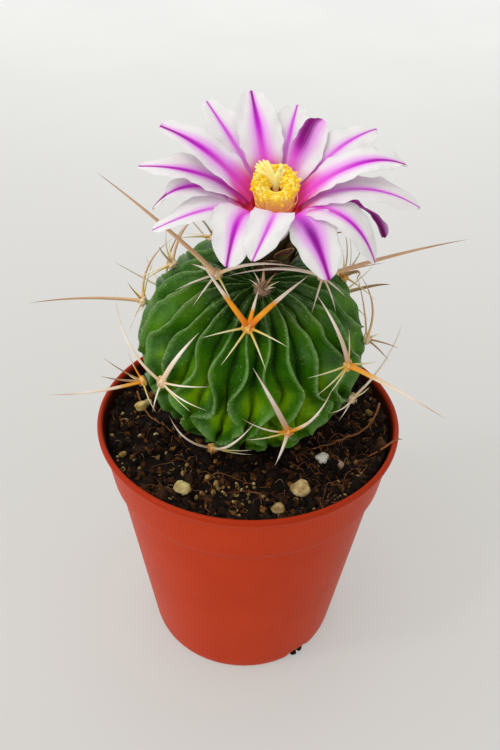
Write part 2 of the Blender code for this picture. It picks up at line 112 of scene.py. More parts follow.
def waves(points, size, seed):
    """A field of about -1 to 1: sine waves whose lengths are near `size`, each along its own
    random direction, added and divided by the root of their number."""
    dice = new_dice(seed)
    pitch = 2 * np.pi / (size * dice.uniform(0.7, 1.4, (WAVE_COUNT, 1)))
    directions = unit(dice.normal(size=(WAVE_COUNT, 3))) * pitch
    phases = dice.uniform(0, 2 * np.pi, WAVE_COUNT)
    return np.sin(points @ directions.T + phases).sum(axis=-1) / np.sqrt(WAVE_COUNT)


def axis_frame(place, tilt, lean):
    """A turn about X by tilt, then about Y by lean, and a move to place: (matrix, place)."""
    about_x = np.array([[1, 0, 0], [0, cos(tilt), -sin(tilt)], [0, sin(tilt), cos(tilt)]])
    about_y = np.array([[cos(lean), 0, sin(lean)], [0, 1, 0], [-sin(lean), 0, cos(lean)]])
    return about_y @ about_x, np.array(place)


PLANT = axis_frame((0.1, 2.5, 65.3), 14, 4)
FLOWER = axis_frame((3.0, 0.0, 93.0), 18, 0)
print("the plant leans 14 degrees to the front, and its flower 18")

# %% [markdown]
# ## From a grid of points to a mesh
#
# Nearly every piece below is a *tube*: rings of points, one after another, each end closed
# to a point. A spine is a tube, a petal is a very flat one, the ribbed ball is a fat one and
# the pot is one whose inner and outer walls are one long outline. So one function makes the
# faces for all of them, and for a thousand crumbs of soil at once. A *shell* here is a set of
# arrays: points, quads, triangles, two numbers per point for the surface's own map (a UV
# map), and which finish each face has.

# %% Shells and pieces
def tube_shell(points, marks=(0, 0), finish=0):
    """Closed tubes from points[tube, ring, side], or one from points[ring, side], with the
    map's two numbers. Quads join each ring to the next, and a fan of triangles closes each
    end to the middle of its ring. Sides run anticlockwise round the direction in which the
    rings follow each other, so faces point outwards."""
    points = points.reshape(-1, *points.shape[-3:])
    tubes, rings, sides, _ = points.shape
    marks = joined(*(np.broadcast_to(mark, points.shape[:3]) for mark in marks))
    side = np.arange(sides)
    after = (side + 1) % sides
    ring = np.arange(rings - 1)[:, None] * sides
    quads = joined(ring + side, ring + after, ring + sides + after, ring + sides + side)
    total, last = rings * sides, (rings - 1) * sides
    fans = np.concatenate([joined(total, after, side),
                           joined(total + 1, last + side, last + after)])
    step = np.arange(tubes)[:, None, None] * (total + 2)

    def with_ends(values):
        flat = values.reshape(tubes, total, -1)
        ends = values[:, (0, -1)].mean(axis=2)
        return np.concatenate([flat, ends], axis=1).reshape(tubes * (total + 2), -1)

    finish = np.broadcast_to(finish, (rings - 1, sides)).ravel()
    return {"points": with_ends(points), "marks": with_ends(marks),
            "quads": (quads.reshape(-1, 4) + step).reshape(-1, 4),
            "fans": (fans + step).reshape(-1, 3),
            "quads_finish": np.tile(finish, tubes),
            "fans_finish": np.full(2 * sides * tubes, finish[0])}


def signed_volume(shell):
    """The volume inside a shell: the sum over its triangles of a . (b x c) / 6. It is
    positive when the faces point outwards."""
    quads = shell["quads"]
    corners = np.concatenate([quads[:, :3], quads[:, (0, 2, 3)], shell["fans"]])
    a, b, c = np.moveaxis(shell["points"][corners], 1, 0)
    return (a * np.cross(b, c)).sum() / 6


def new_object(name, data):
    """An object that holds the data, put into the scene."""
    made = bpy.data.objects.new(name, data)
    bpy.context.scene.collection.objects.link(made)
    return made


def make_piece(name, shells, finishes, node, axis=None):
    """One object from one or more shells, riding on the model's body in place of its node."""
    if min(map(signed_volume, shells)) < 0:
        raise ValueError(f"{name} is inside out")
    first = np.cumsum([0] + [len(shell["points"]) for shell in shells])
    quads, fans = (np.concatenate([shell[key] + start for shell, start in zip(shells, first)])
                   for key in ("quads", "fans"))
    points, marks, *finish_of = (np.concatenate([shell[key] for shell in shells]) for key in
                                 ("points", "marks", "quads_finish", "fans_finish"))
    if axis:
        points = points @ axis[0].T + axis[1]
    mesh = bpy.data.meshes.new(name)
    mesh.from_pydata((points * MM).tolist(), [], quads.tolist() + fans.tolist())
    corners = np.concatenate([quads.ravel(), fans.ravel()])
    chart = mesh.uv_layers.new(name="surface")
    chart.data.foreach_set("uv", marks[corners].astype(np.float32).ravel())
    mesh.polygons.foreach_set("material_index", np.concatenate(finish_of).astype(np.int32))
    mesh.polygons.foreach_set("use_smooth", np.ones(len(mesh.polygons), dtype=bool))
    for finish in finishes:
        mesh.materials.append(finish)
    piece = new_object(name, mesh)
    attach(piece, "root")
    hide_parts(node)
    print(f"{name}: {len(points)} points, {len(mesh.polygons)} faces")


def round_tubes(paths, radii, sides, finish=0):
    """Round tubes along paths[tube, ring], with a radius at each ring. The ring's two
    directions are square to the path and to each other."""
    along = unit(np.gradient(paths, axis=1))
    across = unit(np.cross(along, [0.31, 0.52, 0.79]))
    over = np.cross(along, across)
    spin = circle(sides)[:, None]
    ring = across[:, :, None] * cos(spin) + over[:, :, None] * sin(spin)
    radii = np.broadcast_to(radii, paths.shape[:2])[..., None, None]
    share = np.linspace(0, 1, paths.shape[1])[:, None]
    return tube_shell(paths[:, :, None] + ring * radii, (np.linspace(0, 1, sides), share), finish)


def lumps(places, sizes, seed, rings=5, sides=6, rough=0.25, finish=0):
    """Small irregular stones or crumbs: spheres whose rings are stretched by sizes[lump, 3],
    pushed in and out at random, and turned at random."""
    dice, count = new_dice(seed), len(places)
    height = np.linspace(-0.9, 0.9, rings)[:, None]
    out = np.sqrt(1 - height ** 2)
    ball = joined(out * cos(circle(sides)), out * sin(circle(sides)), height)
    push = 1 + rough * dice.uniform(-1, 1, (count, rings, sides, 1))
    first = unit(dice.normal(size=(count, 3)))
    second = unit(np.cross(first, dice.normal(size=(count, 3))))
    turns = np.stack([first, second, np.cross(first, second)], axis=-1)
    points = np.einsum("nij,nrsj->nrsi", turns, ball * push * sizes[:, None, None])
    own = np.moveaxis(dice.random((count, 1, 1, 2)), -1, 0)
    return tube_shell(points + places[:, None, None], own, finish)


print("helpers ready")

# %% [markdown]
# ## Finishes: how a material is put together
#
# A material in Blender is a small graph. The Principled BSDF at its end is the shader; what
# feeds it are colours and numbers that change over the surface. The two classes below only
# save typing: a method adds a node, joins its inputs and gives back its output. Colours are
# written as red, green and blue from 0 to 255, and made linear, as the shader counts.

# %% Graphs and finishes
def paint(red, green, blue):
    """A 0-255 screen colour made linear: ((c/255 + 0.055) / 1.055) ^ 2.4, with alpha 1."""
    share = (np.array([red, green, blue]) / 255 + 0.055) / 1.055
    return (*(share ** 2.4).tolist(), 1.0)


class Graph:
    """A node tree, with a method for each kind of node."""

    def __init__(self, tree):
        self.tree = tree

    def join(self, socket, value):
        """Gives a socket an output to follow, a colour of 0-255 or a number."""
        if isinstance(value, bpy.types.NodeSocket):
            self.tree.links.new(value, socket)
        else:
            socket.default_value = paint(*value) if socket.type == "RGBA" else value

    def put(self, kind, inputs=(), out=0, **settings):
        """A node, with its inputs as a list or by name: its output number out."""
        node = self.tree.nodes.new("ShaderNode" + kind)
        for name, value in settings.items():
            setattr(node, name, value)
        for socket, value in (inputs.items() if isinstance(inputs, dict) else enumerate(inputs)):
            self.join(node.inputs[socket], value)
        return node.outputs[out]

    def calc(self, operation, first, second=0.0):
        """One sum on two numbers."""
        return self.put("Math", [first, second], operation=operation)

    def times(self, first, second):
        """The product of two numbers."""
        return self.calc("MULTIPLY", first, second)

    def plus(self, first, second):
        """The sum of two numbers."""
        return self.calc("ADD", first, second)

    def between(self, value, low, high, out_low=0.0, out_high=1.0):
        """Carries value from low..high to out_low..out_high along the smooth-step curve."""
        return self.put("MapRange", [value, low, high, out_low, out_high],
                        interpolation_type="SMOOTHSTEP")

    def coats(self, colour, *coats):
        """Coats of (share, colour) laid on one by one: (1 - share) below + share coat."""
        for share, coat in coats:
            colour = self.put("Mix", {0: share, 6: colour, 7: coat}, 2, data_type="RGBA")
        return colour

    def ramp(self, value, *stops):
        """A colour ramp through stops of (place, red, green, blue)."""
        result = self.put("ValToRGB", [value])
        elements = result.node.color_ramp.elements
        elements[0].position, elements[1].position = stops[0][0], stops[-1][0]
        for place, *_ in stops[1:-1]:
            elements.new(place)
        for element, (_, *colour) in zip(elements, stops):
            element.color = paint(*colour)
        return result

    def parts(self, vector):
        """A vector's first two numbers."""
        return self.put("SeparateXYZ", [vector]).node.outputs[:2]

    def jitter(self, value, pattern, most):
        """A value moved up and down by at most `most`, as a pattern goes."""
        return self.plus(value, self.between(pattern, 0.3, 0.7, -most, most))

    def chart(self):
        """The two numbers of the surface's own map at each point."""
        return self.parts(self.put("UVMap", uv_map="surface"))

    def effect(self, group, out=0, **numbers):
        """One of the shared effects below, with its own numbers."""
        return self.put("Group", numbers, out, node_tree=group)

    def cloud(self, scale):
        """The broad layer of the shared mottle."""
        return self.effect(MOTTLE, Scale=scale)

    def fine(self, scale):
        """The fine layer of the shared mottle."""
        return self.effect(MOTTLE, 1, Scale=scale)

    def lines(self, across, along):
        """The shared grain."""
        return self.effect(GRAIN, Across=across, Along=along)


class Finish(Graph):
    """A material's graph, which ends in its Principled shader."""

    def __init__(self, name, roughness, specular=0.5, **inputs):
        self.material = bpy.data.materials.new(name)
        self.material.use_nodes = True
        super().__init__(self.material.node_tree)
        self.feed(Roughness=roughness, Specular_IOR_Level=specular, **inputs)

    def feed(self, **inputs):
        """Gives the shader inputs by name, with _ for a space."""
        shader = self.tree.nodes["Principled BSDF"]
        for name, value in inputs.items():
            self.join(shader.inputs[name.replace("_", " ")], value)

    def dress(self, colour, height=None, strength=0.3, distance=0.0002, **inputs):
        """The finished material, of a colour and if given a height for its bump."""
        if height is not None:
            inputs["Normal"] = self.put("Bump", {"Strength": strength, "Distance": distance,
                                                 "Height": height})
        self.feed(Base_Color=colour, **inputs)
        return self.material

    def two_tone(self, pattern, low, dark, high, pale, strength):
        """Dark where a pattern is low and pale where it is high, with the pattern as bump."""
        return self.dress(self.ramp(pattern, (low, *dark), (high, *pale)), pattern, strength)


def flesh(weight, scale, radius=(1.0, 0.2, 0.1)):
    """Light that goes in and comes out again: how much, and how far in metres, times the
    radius for red, green and blue."""
    return {"Subsurface_Weight": weight, "Subsurface_Scale": scale, "Subsurface_Radius": radius}


# %% [markdown]
# ### Three effects that several finishes share
#
# `Mottle` is soft cloudy variation, which keeps any colour from being flat. `Flecks` is a
# scatter of small round dots: pores, dust, the white bloom spots of a cactus. `Grain` is fine
# lengthwise lines, as on a spine, a petal's veins or a fibre, and follows the surface's own
# map. Each is a node group, built once, with its sizes as named inputs. The position on the
# object, in metres, drives the noise, so a scale of 250 gives clouds about 4 mm wide.

# %% Shader groups
def new_group(name, numbers, outputs, build):
    """A node group with named number inputs and outputs. `build` gets its graph and its
    inputs, and gives the outputs' values."""
    tree = bpy.data.node_groups.new(name, "ShaderNodeTree")
    for label in (*numbers, *outputs):
        way = "INPUT" if label in numbers else "OUTPUT"
        socket = tree.interface.new_socket(label, in_out=way, socket_type="NodeSocketFloat")
        socket.default_value = numbers.get(label, 0.0)
    values = build(Graph(tree), tree.nodes.new("NodeGroupInput").outputs)
    result = tree.nodes.new("NodeGroupOutput")
    for socket, value in zip(result.inputs, values):
        tree.links.new(value, socket)
    return tree


def mottle(graph, given):
    """Two layers of cloud noise: a broad one, and a fine one four times smaller."""
    place = graph.put("TexCoord", out=3)
    cloud = {"Vector": place, "Scale": given["Scale"], "Detail": 4.0,
             "Roughness": given["Softness"]}
    fine = {"Vector": place, "Scale": graph.times(given["Scale"], 4.3), "Detail": 3.0,
            "Roughness": 0.6}
    return graph.put("TexNoise", cloud), graph.put("TexNoise", fine)


def flecks(graph, given):
    """1 inside dots whose radius is Size of the spacing, 0 outside, thinned by a cloud."""
    place = graph.put("TexCoord", out=3)
    apart = graph.put("TexVoronoi", {"Vector": place, "Scale": given["Scale"]})
    cloud = graph.put("TexNoise", {"Vector": place, "Scale": graph.times(given["Scale"], 0.31)})
    return [graph.times(graph.calc("LESS_THAN", apart, given["Size"]),
                        graph.calc("GREATER_THAN", cloud, given["Thin"]))]


def grain(graph, given):
    """Noise stretched along the surface's own map: Lines across for each one along."""
    scale = graph.put("CombineXYZ", [given["Across"], given["Along"], 1.0])
    stretched = graph.put("VectorMath", [graph.put("UVMap", uv_map="surface"), scale],
                          operation="MULTIPLY")
    return [graph.put("TexNoise", {"Vector": stretched, "Scale": 1.0, "Detail": 3.0})]


MOTTLE = new_group("Mottle", {"Scale": 250.0, "Softness": 0.5}, ("Cloud", "Fine"), mottle)
FLECKS = new_group("Flecks", {"Scale": 900.0, "Size": 0.2, "Thin": 0.5}, ("Mask",), flecks)
GRAIN = new_group("Grain", {"Across": 30.0, "Along": 2.0}, ("Lines",), grain)
print("groups:", MOTTLE.name, FLECKS.name, GRAIN.name)

# %% [markdown]
# ## The pot
#
# A nursery pot is moulded in one go, so it is one outline turned round an axis. The outline
# runs from the middle of the floor up the inner wall, over the rolled lip and down the
# outside to the middle of the underside. Moulded plastic has no sharp corners, so the
# outline is walked in equal steps and each point is averaged with its neighbours, which
# rounds the corners by about that distance. Then more points are kept where it bends.

# %% The pot's outline
RIM_RADIUS, POT_HEIGHT, POT_WALL = 27.5, 51.0, 0.9
COLLAR_TOP, COLLAR_FOOT, STEP_HEIGHT = 26.7, 25.2, 40.0
BODY_TOP, BODY_FOOT, FOOT, FLOOR, PAD = 24.4, 18.6, 17.8, 2.2, 8.0
POT_OUTLINE = [
    (0, 1), (PAD - 0.4, 1), (PAD + 1.2, FLOOR + 1), (BODY_FOOT - POT_WALL, FLOOR + 1),
    (BODY_TOP - POT_WALL, STEP_HEIGHT - 0.4), (COLLAR_FOOT - POT_WALL, STEP_HEIGHT + 0.6),
    (RIM_RADIUS - 1.15, 50), (RIM_RADIUS - 0.9, 50.8), (RIM_RADIUS - 0.7, POT_HEIGHT),
    (RIM_RADIUS - 0.35, POT_HEIGHT), (RIM_RADIUS, 50.5), (RIM_RADIUS - 0.1, 49.6),
    (COLLAR_TOP, 49.2), (COLLAR_FOOT + 0.1, STEP_HEIGHT + 0.5), (BODY_TOP, STEP_HEIGHT - 0.5),
    (BODY_FOOT, 2), (BODY_FOOT - 0.3, 0.7), (FOOT, 0), (FOOT - 1, 0), (FOOT - 1.4, FLOOR),
    (PAD + 1.4, FLOOR), (PAD, 0), (0, 0)]


def rounded_outline(corners, step, reach, kept):
    """Equal steps along straight lines, a moving average over `reach`, then `kept` points
    spread evenly over (length + 12 x bend), so that bends get more of them."""
    corners = np.array(corners)
    lengths = np.cumsum([0, *np.linalg.norm(np.diff(corners, axis=0), axis=1)])
    walk = np.arange(0, lengths[-1], step)
    half = int(reach / step / 2)
    window = np.ones(2 * half + 1) / (2 * half + 1)
    walked = [np.pad(np.interp(walk, lengths, column), half, "edge") for column in corners.T]
    line = np.array([np.convolve(column, window, "valid") for column in walked])
    heading = np.unwrap(np.arctan2(*np.gradient(line, axis=1)))
    worth = np.cumsum(step + 12 * np.abs(np.gradient(heading)))
    picks = np.linspace(worth[0], worth[-1], kept)
    return joined(*(np.interp(picks, worth, column) for column in line))


def turned(outline, segments):
    """An outline of (radius, height) turned round +Z, as rings of points."""
    outline = np.array(outline)
    return polar(circle(segments), outline[:, :1], outline[:, 1:])


# %% [markdown]
# Three small arches are cut in the foot, so that water can run out from under the pot. On a
# grid of points that needs no cutting: inside an arch, every point of the foot that is lower
# than the arch is lifted onto it. The four drain holes under the floor are made the same
# way, as pits pushed up into the floor.

# %% The pot's points, with arches and drain holes
ARCH_RADIUS, ARCH_DROP, ARCH_TURNS = 3.9, 2.0, (38, 158, 278)
DRAIN_RING, DRAIN_RADIUS, DRAIN_DEPTH = 13.0, 2.0, 0.8


def pot_points():
    """The turned outline, with sqrt(R^2 - d^2) - drop as the lowest height within an arch."""
    outline = rounded_outline(POT_OUTLINE, 0.1, 0.7, 190)
    outline[(0, -1), 0] = 0.05
    points = turned(outline, 240)[::-1]
    x, y, z = np.moveaxis(points, -1, 0)
    radius = np.hypot(x, y)
    for arch in ARCH_TURNS:
        aside = np.radians((turn_of(x, y) - arch + 180) % 360 - 180) * FOOT
        lowest = np.sqrt(np.maximum(ARCH_RADIUS ** 2 - aside ** 2, 0)) - ARCH_DROP
        foot = (radius > FOOT - 1.5) & (np.abs(aside) < ARCH_RADIUS)
        z[foot] = np.maximum(z, lowest)[foot]
    under = (z < FLOOR + 0.2) & (radius > PAD + 2) & (radius < FOOT - 1.6)
    for number in range(4):
        hole = polar(90 * number, DRAIN_RING, 0)
        near = np.hypot(x - hole[0], y - hole[1])
        z += under * DRAIN_DEPTH * (1 - ease(1.6, DRAIN_RADIUS + 0.3, near))
    return points


# %% [markdown]
# ### Terracotta-coloured plastic
#
# The plastic is a warm brick red with a satin skin. Up close such a pot is never one colour:
# the pigment streaks a little and handling leaves faint scuffs. The lip is a little darker, and
# the inside is darker all over and darkest in cloudy patches: partly soil dirt, partly painted
# shade of the recess. Scuffs go into the roughness, so they show only where light glances off.

# %% The pot and its finish
def pot_finish():
    """Brick red with cloudy pigment and scuffs, a darker lip, and an inside darkened
    by soil dirt and painted shade, darkest in cloudy patches.
    """
    skin = Finish("terracotta_plastic", 0.4, 0.07)
    fine = skin.fine(700)
    inside, height = skin.chart()
    red = skin.coats(
        skin.ramp(skin.cloud(90), (0.3, 187, 53, 14), (0.7, 194, 58, 18)),
        (skin.between(fine, 0.55, 0.8, 0, 0.2), (156, 38, 18)),
        (skin.between(height, 0.975, 0.99, 0, 0.6), (150, 40, 16)),
        # the inside: darker all over and darkest in cloudy patches, partly soil dirt and partly
        # painted shade of the recess
        (inside, (88, 26, 14)),
        (skin.times(inside, skin.between(fine, 0.35, 0.6, 0.4, 0.95)), (36, 20, 14)))
    return skin.dress(red, fine, 0.06, Roughness=skin.between(fine, 0.35, 0.75, 0.34, 0.52))


points = pot_points()
radius, height = radius_of(points), points[..., 2]
slope = (BODY_TOP - BODY_FOOT) / (STEP_HEIGHT - 2)
wall = np.where(height < STEP_HEIGHT, BODY_FOOT + slope * (height - 2) - 0.3,
                24.75 + 0.2 * (height - 40.5))
inside = (radius < wall) & (height > 3) & (height < 50.3)
make_piece("pot_shell", [tube_shell(points, (inside, height / POT_HEIGHT))], [pot_finish()],
           "pot")

# %% [markdown]
# ## The soil
#
# Potting mix is a heap of dark peat, chips, brown fibres and a few pale granules. A rough
# sheet fills the pot, two thousand crumbs lie on it, and fibres wander over them. Each crumb
# has only three dozen faces; their number, not their detail, makes them look real.

# %% Soil surface, and where things lie on it
SOIL_LEVEL, SOIL_RADIUS, CRUMB_RADIUS, NECK_RADIUS, FIBRE_RINGS = 46.0, 25.6, 25.3, 6.0, 10


def soil_height(x, y):
    """Level, mounded to the plant's foot and banked by 2.2 mm against the pot's wall, more
    at the right, with clods of about 5 mm and of 1.5 mm, flatter at the wall."""
    out, flat = np.hypot(x, y), joined(x, y, 0)
    mound = 1.4 * np.exp(-(np.hypot(x + 1.2, y - 6) / 11) ** 2)
    right = np.exp(-((turn_of(x, y) - 80) / 40) ** 2)
    bank = (2.2 + 0.9 * right) * ease(20, 25.4, out)
    clods = 0.3 * waves(flat, 6.0, 3) + 0.16 * waves(flat, 1.8, 4)
    return SOIL_LEVEL + mound + bank + clods * (1 - 0.6 * ease(21, SOIL_RADIUS, out))


def on_soil(turn, out, lift=0.0):
    """Points lying on the soil, raised by lift."""
    places = polar(turn, out, 0.0)
    places[:, 2] = soil_height(places[:, 0], places[:, 1]) + lift
    return places


def soil_points():
    """Rings from a point under the pot's middle, up beside its wall, then in over the top."""
    wall = [(3, 1.5), (7, 1.5), (9, 3.7), (17.2, 3.7), (23, 39.4), (23.9, 40.6), (25, 45.2)]
    top = joined(np.linspace(25.65, 0.1, 84), SOIL_LEVEL)
    points = turned([*wall, *top], 160)
    x, y, z = np.moveaxis(points[len(wall):], -1, 0)
    z[:] = soil_height(x, y)
    return points


def crumbs(count, low, high, seed, finish, flat=0.75, inner=0.0):
    """Lumps scattered evenly over the soil, kept off the plant's neck: the radius of each is
    the square root of a number drawn evenly between the squares of two limits, so that no
    area is favoured."""
    dice = new_dice(seed)
    places = on_soil(dice.uniform(0, 360, count),
                     np.sqrt(dice.uniform(inner ** 2, CRUMB_RADIUS ** 2, count)))
    places = places[np.hypot(places[:, 0], places[:, 1] - 4) > NECK_RADIUS]
    size = low * (high / low) ** dice.random((len(places), 1))
    size = size * dice.uniform(0.6, 1, (len(places), 3)) * (1, 1, flat)
    places[:, 2] += 0.35 * size.min(axis=1)
    return lumps(places, size, seed, rough=0.5, finish=finish)


def fibres(count, seed, finish, length, thick, turns=(0, 360)):
    """Thin tubes that wander over the soil: each heading drifts by a random turn, and the
    path is the sum of its steps, raised in the middle by a low arch."""
    dice, share = new_dice(seed), np.linspace(0, 1, FIBRE_RINGS)
    heading = dice.uniform(0, 2 * np.pi, (count, 1))
    heading = heading + np.cumsum(dice.normal(0, 0.3, (count, FIBRE_RINGS)), axis=1)
    step = length * dice.uniform(0.4, 1.2, (count, 1)) / FIBRE_RINGS
    x, y, _ = polar(dice.uniform(*turns, count), dice.uniform(12, 24, count), 0).T[..., None]
    x = x + np.cumsum(np.cos(heading) * step, axis=1)
    y = y + np.cumsum(np.sin(heading) * step, axis=1)
    tight = np.minimum(1, 25 / np.hypot(x, y))
    x, y = x * tight, y * tight
    arch = np.sin(np.pi * share) * dice.uniform(0.1, 1.1, (count, 1))
    radii = thick * dice.uniform(0.6, 1.4, (count, 1)) * (1 - 0.7 * share)
    return round_tubes(joined(x, y, soil_height(x, y) + 0.12 + arch), radii, 4, finish)


# %% [markdown]
# Two finishes serve the heap: one for everything dark, whose tint follows a random number
# that each crumb carries in its map, and one for fibres and roots.

# %% Soil finishes
def soil_finish(name, dark, middle, pale):
    """A matt colour picked by the crumb's own random number, with fine dark mottling."""
    crumb = Finish(name, 0.95, 0.2)
    fine = crumb.fine(420)
    tint = crumb.ramp(crumb.chart()[0], (0.0, *dark), (0.6, *middle), (1.0, *pale))
    tint = crumb.coats(tint, (crumb.between(fine, 0.42, 0.66, 0, 0.75), dark))
    return crumb.dress(tint, fine, 0.9, 0.0004)


def fibre_finish(name, dark, pale):
    """Root bark or straw with fine lines along it."""
    bark = Finish(name, 0.8)
    return bark.two_tone(bark.lines(4, 20), 0.3, dark, 0.7, pale, 0.4)


SOIL_FINISHES = [
    soil_finish("peat", (14, 8, 4), (40, 22, 11), (88, 54, 28)),
    soil_finish("bark_chips", (48, 25, 10), (104, 60, 26), (166, 112, 56)),
    soil_finish("pale_granules", (128, 98, 52), (188, 154, 92), (222, 204, 156)),
    fibre_finish("root_fibre", (98, 48, 18), (176, 108, 52)),
    fibre_finish("straw_fibre", (150, 112, 60), (214, 184, 126))]
PEAT, CHIPS, GRANULES, FIBRE, STRAW = range(5)
print("soil finishes:", *(finish.name for finish in SOIL_FINISHES))

# %% [markdown]
# Some things are placed one by one: pale bits that catch the eye, with a drawn handful of smaller
# ones at the front, dark crumbs in an arch of the foot that paint in its shade, a withered leaf
# end that hangs over the pot's rim, and two longer roots.

# %% Make the soil
# Turn, distance from the middle and half size of each pale bit
PALE_BITS = np.array([
    (-112, 21.0, 0.9), (-84, 17.0, 0.55), (-59, 22.0, 0.4), (-68, 23.8, 0.8), (-85, 20.0, 0.5),
    (101, 23.2, 0.9), (68, 21.0, 0.45), (52, 20.3, 0.5), (-28, 14.5, 0.75), (-20, 15.2, 0.85),
    (-19, 17.2, 0.6), (-44, 16.0, 0.6), (-48, 14.3, 0.45), (-26, 19.3, 0.6), (10, 17.0, 0.4)])


def bits():
    """Everything placed one by one but the roots, and a drawn handful of smaller bits."""
    turn, out, half = PALE_BITS.T
    dice = new_dice(23)
    handful = on_soil(dice.uniform(-34, 8, 34), dice.uniform(12.5, 20.5, 34), 0.25)
    small = dice.uniform(0.15, 0.42, (34, 1)) * dice.uniform(0.7, 1, (34, 3))
    # painted shade: dark peat crumbs in the opening of an arch in the foot
    arch_shade_crumbs = polar([36, 38.5, 41], [18, 17.6, 17.9], [0.5, 1, 0.5])
    leaf = polar([[70, 73, 76, 77, 77.5]], [[23, 25, 26.6, 27.4, 28.2]],
                 [[48.4, 49.7, 50.8, 51.2, 51.1]])
    return [lumps(on_soil(turn, out, 0.4 * half), half[:, None] * (1, 0.8, 0.6), 21, 9, 12,
                  0.12, GRANULES),
            lumps(handful, small, 24, finish=GRANULES), lumps(arch_shade_crumbs, np.full((3, 3), 0.65), 22),
            round_tubes(leaf, [0.12, 0.2, 0.2, 0.14, 0.02], 8, FIBRE)]


def root(points, radius):
    """One longer root: the smooth line of a polynomial through points lying on the soil."""
    share, fine = np.linspace(0, 1, len(points)), np.linspace(0, 1, 40)
    x, y = (np.polynomial.Polynomial.fit(share, column, len(points) - 1)(fine)
            for column in np.array(points).T)
    path = joined(x, y, soil_height(x, y) + radius + 0.9)
    return round_tubes(path[None], radius * (1 - 0.6 * fine), 6, FIBRE)


shells = [
    tube_shell(soil_points(), (0.15, 0.15)), crumbs(1000, 0.3, 1.5, 11, PEAT),
    crumbs(680, 0.2, 0.9, 12, CHIPS, 0.6), crumbs(250, 0.12, 0.7, 13, GRANULES),
    crumbs(260, 0.3, 1.0, 18, PEAT, inner=24.2), fibres(36, 14, FIBRE, 8.0, 0.08),
    fibres(110, 15, FIBRE, 3.6, 0.07), fibres(80, 16, STRAW, 2.2, 0.06),
    fibres(130, 17, FIBRE, 3.0, 0.07, (35, 105)), *bits(),
    root([(24.6, 5.2), (23, 1.5), (20.4, -0.7), (16.6, -2.9), (11.6, -4.8)], 0.24),
    root([(-21.5, 8.5), (-18.5, 3), (-14, -1.5)], 0.2)]
make_piece("soil_heap", shells, SOIL_FINISHES, "soil")

# %% [markdown]
# ## The ribbed ball
#
# The plant's body is a squat ball with two dozen thin, wavy ribs. It could be sculpted, but
# a formula keeps the ribs where the spine cushions expect them. Its surface is a function of
# two numbers: how far round (which rib, and how far from its crest to the next) and how high.
#
# * The crests swing from side to side as they go down, each from its own start, and the
#   swing grows towards the foot, where the ribs crumple into lobes.
# * From a crest the skin sinks to a sharp crease halfway to the next rib.
# * Towards the crown there is no room for two dozen, so nearly every other rib fades out.
# * The columns of points are drawn together near crests and creases, where the shape turns
#   quickly, and spread on the flat flanks between them.

# %% The ball's formulas
BALL_RADIUS, BALL_HALF_HEIGHT, RIBS, RIB_START = 19.7, 18.2, 24, -6.0
RIB_PHASES = np.array([120, 320, 260, 70, 210, 350, 270, 100, 20, 160, 300, 60,
                       230, 350, 110, 250, 30, 140, 190, 0, 100, 350, 200, 330])
FADING_RIBS = (1, 3, 5, 9, 11, 13, 15, 17, 21, 23)


def crest_turn(rib, height):
    """The turn of a rib's crest, with a swing of 4.5 sin(9 height + phase), in degrees, that
    grows from nothing at 75 degrees up to full at 15."""
    growth = np.clip((75 - height) / 60, 0, 1)
    swing = 4.5 * growth * sin(9 * height + RIB_PHASES[rib % RIBS])
    return RIB_START + rib * 360 / RIBS + swing


def ball_point(turn, height, sink=0.0):
    """The plain ball, sunk by `sink`: an ellipse turned round the axis, with a dip of
    3.2 exp(-(r/6)^2) at the crown, and drawn in to a root neck below -60 degrees."""
    radius = BALL_RADIUS - sink
    edge = radius * cos(60)
    neck = np.interp(-height, (60, 68, 82, 90), (0, 1, 2, 3))
    out = np.where(height < -60, np.where(neck < 1, edge + (5 - edge) * neck, 6 - neck),
                   radius * cos(height))
    up = np.where(height < -60, np.interp(neck, (0, 1, 2, 3), (-15.8, -17.4, -24, -24.5)),
                  (BALL_HALF_HEIGHT - sink) * sin(height))
    return polar(turn, out, up - (height > 0) * 3.2 * np.exp(-(out / 6) ** 2))


def crease(distance):
    """How deep the skin lies, 0 at a crest and 1 in a crease, for a distance of 0 to 1
    between them: a rounded bead with a step under it, a nearly straight flank, and a last
    narrow slot at the crease itself."""
    flank = (np.sqrt(distance ** 2 + 0.02) - 0.141) / 0.869
    return 0.70 * flank + 0.24 * ease(0.08, 0.26, distance) + 0.06 * ease(0.86, 1.0, distance)


def body_points(columns=20, rows=204):
    """The skin's points, and for each its distance from the crest (0 to 1) and its height
    as a share. Columns within a rib are u - 0.055 sin(4 pi u), dense at crest and crease."""
    u = np.linspace(0, 1, columns, endpoint=False)
    part = np.tile(u - 0.055 * np.sin(4 * np.pi * u), RIBS)
    rib = np.repeat(np.arange(RIBS), columns)
    height = np.concatenate([np.linspace(-89, -62, 16), np.linspace(-60, 89.6, rows - 16)])
    height = height[:, None]
    left, right = crest_turn(rib, height), crest_turn(rib + 1, height)
    turn = left + (right - left) * part
    ball = ball_point(turn, height)
    distance = 1 - np.abs(2 * part - 1)
    nearest = (rib + (part > 0.5)) % RIBS
    fading = np.isin(nearest, FADING_RIBS) * ease(48, 70, height) * 0.85
    depth = 4.1 * np.abs(cos(height)) ** 0.7 * np.where(height > 60, 0.8, 1)
    depth = depth * np.where(height < 0, np.clip((62 + height) / 62, 0, 1) ** 0.5, 1)
    lift = 0.16 * waves(ball, 3.2, 21) * (1 - distance) + 0.22 * waves(ball, 5.5, 22)
    lift = lift * np.clip((60 + height) / 30, 0, 1)
    sink = depth * np.maximum(crease(distance), fading) - lift
    lean = ease(30, -12, height) * (1 - distance) ** 1.3 * 3.8 * waves(ball, 6.0, 23)
    return ball_point(turn + lean, height, sink), (distance, (height + 90) / 180)


# %% [markdown]
# ### Waxy green skin
#
# The surface's own map carries two helpful numbers: how far a point is from its crest, and
# how high it is. With them the colour can follow the plant instead of a pattern: crests are
# grey-green and bloomed, flanks deep green, and the creases of the lower half, where the
# skin is youngest and light comes through it, turn yellow-green. Tiny pale flecks dot it.

